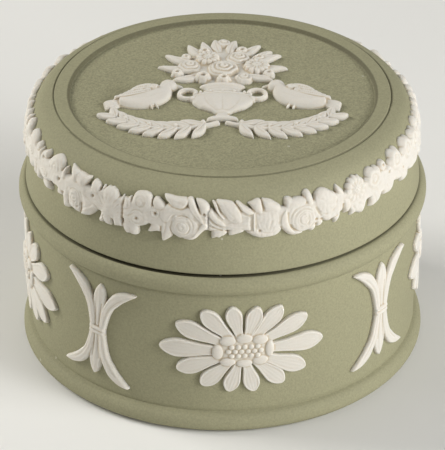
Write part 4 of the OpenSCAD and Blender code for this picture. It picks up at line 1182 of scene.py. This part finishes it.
    strip.pits((10.2, -2.0), (26.9, -1.7), (53.2, 2.7), (55.5, 0.9), (63.6, -0.6), depth=0.3, width=0.25)
    strip.whorl(23.2, -1.1, (0.5, 0.95, 1.4, 1.95, 2.5), depth=0.08)
    strip.rays(30.2, 1.0, 2.6, 9, depth=0.05)
    strip.rays(12.4, -3.2, 3.4, 17, depth=0.04)
    return strip


# Top relief: an urn of flowers, two doves and two branches, on the sunk disc. Each has its own
# origin: the urn's and the branches' is the urn's foot, and the bouquet's is the urn's mouth.

# The foot's and the doves' places from the middle of the lid, and the urn's size
URN_FOOT = -10.6
DOVE_X = 14.6
DOVE_Y = -1.5
DOVE_TILT = 12
URN_H = 13.0
URN_W = 11.6
# Share of the urn's height, and share of its half width there
URN_OUTLINE = ((0, 0.50), (0.06, 0.50), (0.10, 0.30), (0.20, 0.19), (0.26, 0.34), (0.36, 0.72), (0.48, 0.92),
               (0.60, 1.0), (0.70, 0.93), (0.78, 0.66), (0.86, 0.52), (0.93, 0.64), (1.0, 0.74))
# Height, place and width of each raised band, the last two as shares of the urn's height
URN_BANDS = ((0.16, 0.66, 0.014), (0.16, 0.76, 0.012), (0.22, 0.95, 0.025), (0.2, 0.22, 0.02),
             (0.1, 0.05, 0.02))
# Foot, length, direction and width of each leaf of the bouquet
BOUQUET_LEAVES = (
    (-4.5, 5.5, 7.8, 168, 2.3), (-4.5, 7.5, 7.6, 146, 2.3), (-3.0, 10.0, 6.8, 122, 2.2),
    (-0.6, 12.5, 5.4, 98, 2.1), (1.4, 12.0, 5.6, 76, 2.1), (3.4, 10.0, 6.8, 55, 2.2),
    (4.8, 7.5, 7.6, 33, 2.3), (4.6, 5.2, 7.8, 10, 2.3), (-4.0, 3.5, 5.6, 196, 2.1),
    (4.2, 3.2, 5.6, -16, 2.1), (-2.0, 12.0, 5.4, 110, 1.8), (5.6, 9.4, 5.4, 44, 1.8))
# Kind, middle, radius and height of each flower of the bouquet, then what else its kind needs
BOUQUET_FLOWERS = (
    (ring_bloom, -6.8, 10.4, 1.2, 1.2, 5, 0, 0.36), (ring_bloom, 6.9, 10.2, 1.2, 1.2, 5, 30, 0.36),
    (ring_bloom, -8.4, 4.4, 1.3, 1.2, 5, 10, 0.36), (ring_bloom, 8.6, 4.2, 1.3, 1.2, 5, 40, 0.36),
    (rose, 0.2, 16.0, 1.6, 1.4, 0.6, 0), (ring_bloom, -3.4, 12.6, 1.4, 1.3, 5, 10, 0.36),
    (ring_bloom, 3.7, 12.9, 1.4, 1.3, 5, 50, 0.36), (rose, -6.2, 6.8, 2.3, 1.65, 0.7, 70),
    (daisy_bloom, 6.4, 6.6, 2.5, 1.6, 12), (daisy_bloom, -2.7, 9.4, 2.3, 1.75, 11, 15),
    (rose, 3.0, 9.8, 2.4, 1.8, 0.7, 200), (ring_bloom, -3.6, 2.6, 1.7, 1.5, 5, 20, 0.36),
    (rose, 3.9, 2.4, 1.8, 1.5, 0.6, 150), (rose, 0.1, 5.6, 3.0, 2.0, 0.8, 30),
    (ring_bloom, 0.2, 1.6, 1.5, 1.6, 5, 0, 0.36))


def urn_relief(step):
    """Half a turned urn: a round body with flutes below a beaded band, a foot, a rim and two handles."""
    relief = Relief((-9, -1), (9, URN_H + 1), step)
    shares = np.array(URN_OUTLINE)

    def body(x, y):
        t = np.clip(y / URN_H, 0, 1)
        half = URN_W / 2 * np.interp(t, shares[:, 0], shares[:, 1])
        inside = np.minimum((half - np.abs(x)) * 0.9, np.minimum(y, URN_H - y))
        over = np.clip(np.abs(x) / np.maximum(half, 0.1), 0, 1)
        round_back = np.sqrt(1 - 0.85 * over ** 2)
        clay = (0.65 + 1.15 * half / (URN_W / 2)) * round_back
        flutes = 0.16 * np.abs(np.sin(np.arcsin(over) * 5.0)) * np.clip((0.62 - t) / 0.1, 0, 1)
        flutes = flutes * np.clip((t - 0.24) / 0.06, 0, 1)
        bands = sum(tall * bump_at(t, up, width) for tall, up, width in URN_BANDS)
        return inside, clay - 0.14 + flutes + bands

    for side in (-1, 1):
        relief.press(hoop(2.1, 0.85, 0.95), (side * 6.3, URN_H * 0.74), 3.5)
        relief.press(ball(0.7, 1.1), (side * 5.4, URN_H * 0.60), 1.2)
    relief.press(body, (0, 0), URN_H + 1)
    for k in range(-3, 4):
        turn = k * 0.42
        relief.press(bead(0.36, 1.55 * math.cos(turn) ** 0.5, 0.25),
                     (URN_W / 2 * 0.93 * math.sin(turn), URN_H * 0.71), 0.8, edge=0.2)
    relief.soften(0.2)
    return relief


def hoop(radius, width, height):
    """A round hoop with a rounded back."""
    def shape(x, y):
        off = np.abs(np.hypot(x, y) - radius + width / 2)
        back = np.sqrt(np.clip(1 - (2 * off / width) ** 2, 0, 1))
        return width / 2 - off, height * (0.5 + 0.5 * back)
    return shape


def bouquet_relief(step):
    """A bouquet: leaves under roses, daisies and small ring blooms."""
    relief = Relief((-14, -0.2), (14, 19), step)
    relief.press(ball(6.6, 0.7, 1.15), (0, 7.6), 8, edge=1.2)
    for x, y, length, turn, width in BOUQUET_LEAVES:
        way = np.array([math.cos(math.radians(turn)), math.sin(math.radians(turn))]) * length
        bow = np.array([-way[1], way[0]]) * 0.10
        shape = leaf((0, 0), way / 2 + bow, way, width, 0.9, vein=0.2, rim=0.08, peak=0.45)
        relief.press(shape, (x, y), length + 2, edge=0.24)
    for kind, x, y, radius, height, *more in BOUQUET_FLOWERS:
        relief.press(kind(radius, height, *more), (x, y), room(radius), edge=0.4)
    relief.soften(0.5)
    relief.taper(0.3, 16)
    return relief


def dove_relief(step):
    """A dove facing +X: a full breast, a round head, a folded feathered wing and a fanned tail."""
    relief = Relief((-9, -5.5), (9, 6), step)
    # Tail feathers, then the body along its back, the head and the beak
    for spread in (-9, -3, 3, 9):
        feather = leaf((-2.5, -0.9), (-5.0, -1.6 + spread * 0.05), (-7.6, -2.4 + spread * 0.11), 1.5,
                       0.8 + 0.02 * spread, root=0.6, peak=0.75, tip=0.5, vein=0.1, rim=0.05)
        relief.press(feather, (0, 0), 9)
    body = leaf((-4.6, -1.6), (0.5, -3.2), (5.4, 2.6), 5.6, 1.55, root=0.35, peak=0.55, tip=0.62,
                vein=0, fall=0.6)
    relief.press(body, (0, 0), 9, edge=0.5)
    relief.press(ball(1.75, 1.55), (5.3, 2.7), 2.4, edge=0.5)
    beak = leaf((5.8, 2.6), (7.0, 2.5), (8.1, 2.0), 1.0, 0.85, root=0.9, peak=0.2, tip=1.0, vein=0)
    relief.press(beak, (0, 0), 9)
    for k in range(5):
        end = (-5.6 + 0.9 * k, -0.9 + 0.42 * k - 0.05 * k * k)
        feather = leaf((1.6 - 0.1 * k, 0.3 + 0.25 * k), (-1.6, -0.2 + 0.55 * k), end, 1.35,
                       1.75 + 0.06 * k, root=0.7, peak=0.6, tip=0.55, rim=0.08)
        relief.press(feather, (0, 0), 9)
    shoulder = leaf((2.9, 0.9), (1.2, 2.2), (-1.2, 1.3), 2.2, 2.05, root=0.6, peak=0.4, tip=0.6,
                    vein=0, fall=0.4)
    relief.press(shoulder, (0, 0), 6)
    relief.soften(0.4)
    relief.taper(0.3, 30)
    # Feathers of the wing and of the breast
    for y0, y1, y2 in ((0.2, -0.35, -0.75), (0.75, 0.35, -0.25), (1.3, 1.0, 0.35)):
        relief.fold((1.6, y0), (-1.2, y1), (-4.6 + y0, y2), depth=0.16, width=0.16)
    for x, y in ((2.1, 0.6), (1.2, 1.3), (0.6, 0.4), (2.3, 1.5)):
        relief.fold((x + 0.1, y + 0.45), (x - 0.45, y), (x + 0.1, y - 0.45), depth=0.1, width=0.13)
    relief.fold((-2.6, -1.9), (0.6, -2.1), (3.4, -0.9), depth=0.06, width=0.2)
    relief.pits((5.8, 3.05), depth=0.25, width=0.2)
    for x in (0.4, 1.5):
        leg = leaf((x, -2.4), (x + 0.1, -3.4), (x + 0.6, -4.6), 0.6, 0.7, root=1, tip=0.6, vein=0)
        relief.press(leg, (0, 0), 7)
    return relief


def branch_relief(step):
    """A leafy branch to the right: a stem along a curve, paired leaves and small berries."""
    relief = Relief((-1.2, -10), (24, 8), step)
    a, b, c = np.array([0.6, -0.6]), np.array([12.3, -7.0]), np.array([20.5, 2.5])
    relief.press(leaf(a, b, c, 1.0, 0.85, root=1, peak=0.3, tip=0.5, vein=0), (0, 0), 25)
    for k in range(1, 9):
        t = k / 8.6
        at = (1 - t) ** 2 * a + 2 * t * (1 - t) * b + t ** 2 * c
        way = (1 - t) * (b - a) + t * (c - b)
        lean = math.degrees(math.atan2(way[1], way[0]))
        for side in (-1, 1):
            turn = math.radians(lean + side * (40 - 12 * t))
            end = at + np.array([math.cos(turn), math.sin(turn)]) * (4.9 - 1.3 * t)
            bow = np.array([way[1], -way[0]]) / np.linalg.norm(way) * side * 0.5
            shape = leaf(at * 0, (end - at) / 2 - bow, end - at, 1.9, 0.95, root=0.4, vein=0.22, rim=0.08)
            relief.press(shape, tuple(at), 6.5, edge=0.22)
        if k % 2:
            relief.press(ball(0.62, 1.2), tuple(at + np.array([0.2, 0.9])), 1.2, edge=0.3)
    relief.soften(0.5)
    relief.taper(0.3, 12)
    return relief


def mirrored(relief):
    """The same relief seen from the other side: across runs the other way."""
    other = Relief.__new__(Relief)
    columns = relief.u.shape[1]
    other.step = relief.step
    other.low = (-(relief.low[0] + (columns - 1) * relief.step), relief.low[1])
    other.u = -relief.u[:, ::-1]
    other.v = relief.v[:, ::-1]
    other.inside = relief.inside[:, ::-1].copy()
    other.height = relief.height[:, ::-1].copy()
    return other


def turned_place(place, turn):
    """A place function whose window is turned first."""
    c = math.cos(math.radians(turn))
    s = math.sin(math.radians(turn))

    def place_turned(u, v, height):
        return place(u * c - v * s, u * s + v * c, height)
    return place_turned


class STONEWARE_OT_base(bpy.types.Operator):
    """Throws the base: foot bead, wall, rim bead, seat and inner collar"""
    bl_idname = "stoneware.base"
    bl_label = "Base"

    def execute(self, context):
        s = context.scene.stoneware_sizes
        bead_r = s.bead_out * 1.2
        bead_mid = s.wall_r - s.bead_out * 0.2
        foot_r = 33.3
        foot_z = 1.6
        rim_z = s.seat_z - 2.0
        # From the middle of the underside out over the foot ring and the foot bead
        outline = [(0, 1.2, 0), (foot_r, 1.2, 0.5), (foot_r, 0.05, 0.5)]
        outline += arc((bead_mid, foot_z), (bead_r, 1.57), -66, -4, 12)
        outline += arc((bead_mid, foot_z), (bead_r, 2.35), 4, 68, 14)
        # Up the wall to the groove and the rim bead
        outline += [(s.wall_r - 0.14, 3.95, 0.12), (s.wall_r, 4.5, 0.3), (s.wall_r, s.seat_z - 4.75, 0.6),
                    (s.wall_r - 0.2, s.seat_z - 4.15, 0.2)]
        outline += arc((bead_mid, rim_z), (bead_r, 2.08), -68, 62, 22)
        # In over the seat, up and over the collar, and down to the inside floor
        outline += [(s.wall_r + 0.05, s.seat_z - 0.42, 0.2), (s.collar_r + 1.2, s.seat_z - 0.46, 0.1),
                    (s.collar_r + 1.0, s.seat_z, 0.1), (s.collar_r, s.seat_z, 0.3),
                    (s.collar_r, BASE_TOP[2], 0.5), (s.inside_r, BASE_TOP[2], 0.5),
                    (s.inside_r, s.floor_z, 2.5), (0, s.floor_z, 0)]

        def painted_shading(r, z):
            """Painted shade on the sunk outer ring of the seat, in the gap under the lid, darker where it
            lies deeper.
            """
            ring = (z > s.seat_z - 0.75) & (r > s.collar_r + 1.08) & (r < s.wall_r + 0.15)
            return ring * np.clip((s.seat_z - z) / 0.45, 0.35, 0.9)

        def warp(turn, r, z):
            """Lifts the outer seat away from the front left, so that the gap is widest there."""
            widest, spread, lift = -20, 55, 0.45
            away = 1 - np.exp(-((np.remainder(turn - widest + 180, 360) - 180) / spread) ** 2)
            level = (z > s.seat_z - 0.6) & (z < s.seat_z - 0.3)
            return lift * away * (level & (r < s.wall_r + 0.2) & (r > s.collar_r + 0.1))

        thrown("box_base", outline, s.segments, painted_shading, BASE_BODY, warp)
        return {"FINISHED"}


class STONEWARE_OT_lid(bpy.types.Operator):
    """Throws the lid: sloping side, shoulder, ring, sunk disc and its hollow"""
    bl_idname = "stoneware.lid"
    bl_label = "Lid"

    def execute(self, context):
        s = context.scene.stoneware_sizes
        side = LidSide(s)
        ring_r = s.disc_r + 2.8
        disc_z = side.top_z - s.disc_depth
        skirt_r = side.edge_r - 2.3
        upper_r = skirt_r - 1.8
        corner_r = 3.1
        ceiling = disc_z - 3.1
        rebate = BASE_TOP[2] + 0.8
        # The hollow, from its middle out and down to the lip
        outline = [(0, ceiling, 0), (upper_r - corner_r, ceiling, 0)]
        outline += arc((upper_r - corner_r, side.mid_z), (corner_r, ceiling - side.mid_z), 85, 0, 8)
        outline += [(upper_r, rebate, 0.3), (skirt_r, rebate, 0.4), (skirt_r, side.edge_z, 0.3)]
        # Up the side and over the shoulder, then the groove, the ring and the disc
        outline += [(side.edge_r - 0.02, side.edge_z, 0.4), (side.tangent_r, side.tangent_z, 0)]
        last_bend = math.degrees(math.acos((ring_r + 0.28 - side.mid_r) / side.round))
        outline += arc((side.mid_r, side.mid_z), (side.round, side.round), s.slope + 2, last_bend, 22)
        outline += [(ring_r + 0.12, side.top_z - 0.38, 0.08), (ring_r, side.top_z - 0.30, 0.08),
                    (ring_r - 0.10, side.top_z, 0.3), (s.disc_r + 0.3, side.top_z, 0.3),
                    (s.disc_r - 0.1, disc_z, 0.3), (0, disc_z, 0)]

        def painted_shading(r, z):
            """Painted shade under the lip, and some in the groove outside the ring."""
            groove = (np.abs(r - ring_r - 0.1) < 0.16) & (z > side.top_z - 0.6) & (z < side.top_z - 0.1)
            lip = (z < side.edge_z + 0.06) & (r > skirt_r + 0.1) & (r < side.edge_r - 0.15)
            return 0.7 * lip + 0.4 * groove

        thrown("lid", outline, s.segments, painted_shading, LID_BODY)
        return {"FINISHED"}


def wall_sprigs(sizes, name, relief, places):
    """Lutes one pressed relief on the wall at each place, numbered from 1."""
    for k, (turn, up, tilt) in enumerate(places, 1):
        place = turned_place(on_wall(turn, up, sizes.wall_r), tilt)
        sprig("%s_%d" % (name, k), relief, place, BASE_BODY)


class STONEWARE_OT_flowers(bpy.types.Operator):
    """Presses the four broad flowers and lutes them on the wall"""
    bl_idname = "stoneware.flowers"
    bl_label = "Flower sprigs"

    def execute(self, context):
        s = context.scene.stoneware_sizes
        wall_sprigs(s, "flower_sprig", flower_relief(s.sprig_step), FLOWER_PLACES)
        return {"FINISHED"}


class STONEWARE_OT_leaves(bpy.types.Operator):
    """Presses the four tied leaf sprigs and lutes them on the wall"""
    bl_idname = "stoneware.leaves"
    bl_label = "Leaf sprigs"

    def execute(self, context):
        s = context.scene.stoneware_sizes
        wall_sprigs(s, "leaf_sprig", tied_leaf_relief(s.sprig_step), LEAF_PLACES)
        return {"FINISHED"}


class STONEWARE_OT_garland(bpy.types.Operator):
    """Presses the garland in two moulds and lutes its four strips round the lid"""
    bl_idname = "stoneware.garland"
    bl_label = "Garland"

    def execute(self, context):
        s = context.scene.stoneware_sizes
        side = LidSide(s)
        moulds = (strip_relief_a(s.garland_step), strip_relief_b(s.garland_step))
        for k in range(4):
            place = side.place(STRIP_START + STRIP_TURN * k, GARLAND_WALK, GARLAND_R)
            sprig("garland_strip_%d" % (k + 1), moulds[k % 2], place, LID_BODY)
        return {"FINISHED"}


class STONEWARE_OT_relief(bpy.types.Operator):
    """Presses the top relief: urn, bouquet, doves and branches"""
    bl_idname = "stoneware.relief"
    bl_label = "Top relief"

    def execute(self, context):
        s = context.scene.stoneware_sizes
        disc_z = LidSide(s).top_z - s.disc_depth
        foot = on_disc(disc_z, (0, URN_FOOT))
        mouth = on_disc(disc_z, (0, URN_FOOT + URN_H + 0.3))
        left, right = (turned_place(on_disc(disc_z, (x, DOVE_Y)), tilt)
                       for x, tilt in ((-DOVE_X, DOVE_TILT), (DOVE_X, -DOVE_TILT)))
        dove = dove_relief(s.sprig_step)
        branch = branch_relief(s.sprig_step)
        for name, relief, place in (
                ("relief_urn", urn_relief(s.sprig_step), foot),
                ("relief_bouquet", bouquet_relief(s.sprig_step), mouth),
                ("relief_dove_left", dove, left), ("relief_dove_right", mirrored(dove), right),
                ("relief_branch_right", branch, foot), ("relief_branch_left", mirrored(branch), foot)):
            sprig(name, relief, place, LID_BODY)
        return {"FINISHED"}


class STONEWARE_OT_studio(bpy.types.Operator):
    """Sets the floor, the light and the camera at the photograph's view"""
    bl_idname = "stoneware.studio"
    bl_label = "Studio"

    def execute(self, context):
        self.floor(context.scene.stoneware_colours)
        self.world()
        self.lamp("low key lamp", 50, 14, 3.6, (0.985, 0.985, 0.985))
        self.lamp("key lamp", 62, 30, 4.8, (0.985, 0.985, 0.985))
        self.lamp("back lamp", -108, 32, 6.15, (1.0, 0.985, 0.945))
        self.lamp("side lamp", -75, 25, 1.0, (1.0, 0.99, 0.975))
        self.camera(context.scene)
        context.scene.view_settings.view_transform = "Standard"
        return {"FINISHED"}

    def floor(self, colours):
        """A level floor of matt paper that bends up into a backdrop well behind the box, in metres."""
        front, bend_start, bend_r, top, half_width = -1.2, 0.75, 0.4, 1.6, 1.5
        bend = np.linspace(0.1, 1.57, 14)
        depth = np.concatenate([np.linspace(front, bend_start, 12), bend_start + bend_r * np.sin(bend),
                                [bend_start + bend_r]])
        height = np.concatenate([np.zeros(12), bend_r - bend_r * np.cos(bend), [top]])
        grid_x, grid_y = np.meshgrid(np.linspace(-half_width, half_width, 9), depth)
        grid_z = np.broadcast_to(height[:, None], grid_x.shape)
        points = np.stack([grid_x, grid_y, grid_z], axis=-1).reshape(-1, 3)
        ids = np.arange(grid_x.size).reshape(grid_x.shape)
        faces = np.stack([ids[:-1, :-1], ids[:-1, 1:], ids[1:, 1:], ids[1:, :-1]], -1).reshape(-1, 4)
        mesh = bpy.data.meshes.new("studio floor")
        mesh.from_pydata(points.tolist(), [], faces.tolist())
        mesh.polygons.foreach_set("use_smooth", np.ones(len(faces), bool))
        paper = bpy.data.materials.new("studio paper")
        paper.use_nodes = True
        shader = paper.node_tree.nodes["Principled BSDF"]
        shader.inputs["Base Color"].default_value = tuple(colours.floor)
        shader.inputs["Roughness"].default_value = 0.9
        mesh.materials.append(paper)
        floor = bpy.data.objects.new("studio_floor", mesh)
        bpy.context.collection.objects.link(floor)

    def world(self):
        """A dim even light, which is pale where the camera sees it past the paper."""
        world = bpy.data.worlds.new("studio")
        world.use_nodes = True
        tree = world.node_tree
        back = tree.nodes["Background"]
        back.inputs["Color"].default_value = (0.97, 0.985, 1.0, 1.0)
        seen = add_node(tree, "LightPath").outputs["Is Camera Ray"]
        tree.links.new(mapped(tree, seen, {"To Min": 0.12, "To Max": 0.72}), back.inputs["Strength"])
        bpy.context.scene.world = world

    def lamp(self, name, turn, lift, power, colour, distance=0.9, size=0.42, middle_z=0.025):
        """A square soft lamp that faces the box, at a turn from its front and a lift above it."""
        turn, lift = math.radians(turn), math.radians(lift)
        flat = distance * math.cos(lift)
        data = bpy.data.lights.new(name, "AREA")
        data.size = size
        data.energy = power
        data.color = colour
        lamp = bpy.data.objects.new(name, data)
        height = middle_z + distance * math.sin(lift)
        lamp.location = (flat * math.sin(turn), -flat * math.cos(turn), height)
        aim(lamp, (0, 0, middle_z))
        bpy.context.collection.objects.link(lamp)

    def camera(self, scene):
        """The photograph's view: from 31.3 degrees above the table and 561 mm away."""
        data = bpy.data.cameras.new("camera")
        data.sensor_width = 36
        data.lens = 238.3
        data.clip_start = 0.05
        camera = bpy.data.objects.new("camera", data)
        camera.location = (0, -0.47973, 0.31354)
        aim(camera, (0, -0.00067, 0.0217))
        bpy.context.collection.objects.link(camera)
        scene.camera = camera


def aim(thing, target):
    """Turns a lamp or camera so that its -Z points at a target, with +Y up."""
    way = Vector(target) - thing.location
    thing.rotation_euler = way.to_track_quat("-Z", "Y").to_euler()


class STONEWARE_PT_panel(bpy.types.Panel):
    """Lists the steps that build the box"""
    bl_idname = "STONEWARE_PT_panel"
    bl_label = "Stoneware box"
    bl_space_type = "VIEW_3D"
    bl_region_type = "UI"
    bl_category = "Stoneware"

    def draw(self, context):
        for operator in OPERATORS:
            self.layout.operator(operator.bl_idname)
        for group in (context.scene.stoneware_sizes, context.scene.stoneware_colours):
            for name in group.bl_rna.properties.keys():
                if name not in ("rna_type", "name"):
                    self.layout.prop(group, name)


OPERATORS = (STONEWARE_OT_base, STONEWARE_OT_lid, STONEWARE_OT_flowers, STONEWARE_OT_leaves,
             STONEWARE_OT_garland, STONEWARE_OT_relief, STONEWARE_OT_studio)
CLASSES = (StonewareSizes, StonewareColours) + OPERATORS + (STONEWARE_PT_panel,)


def register():
    for cls in CLASSES:
        bpy.utils.register_class(cls)
    bpy.types.Scene.stoneware_sizes = bpy.props.PointerProperty(type=StonewareSizes)
    bpy.types.Scene.stoneware_colours = bpy.props.PointerProperty(type=StonewareColours)


def unregister():
    del bpy.types.Scene.stoneware_colours
    del bpy.types.Scene.stoneware_sizes
    for cls in reversed(CLASSES):
        bpy.utils.unregister_class(cls)


def main():
    register()
    bpy.ops.stoneware.base()
    bpy.ops.stoneware.lid()
    bpy.ops.stoneware.flowers()
    bpy.ops.stoneware.leaves()
    bpy.ops.stoneware.garland()
    bpy.ops.stoneware.relief()
    bpy.ops.stoneware.studio()


if __name__ == "__main__":
    main()
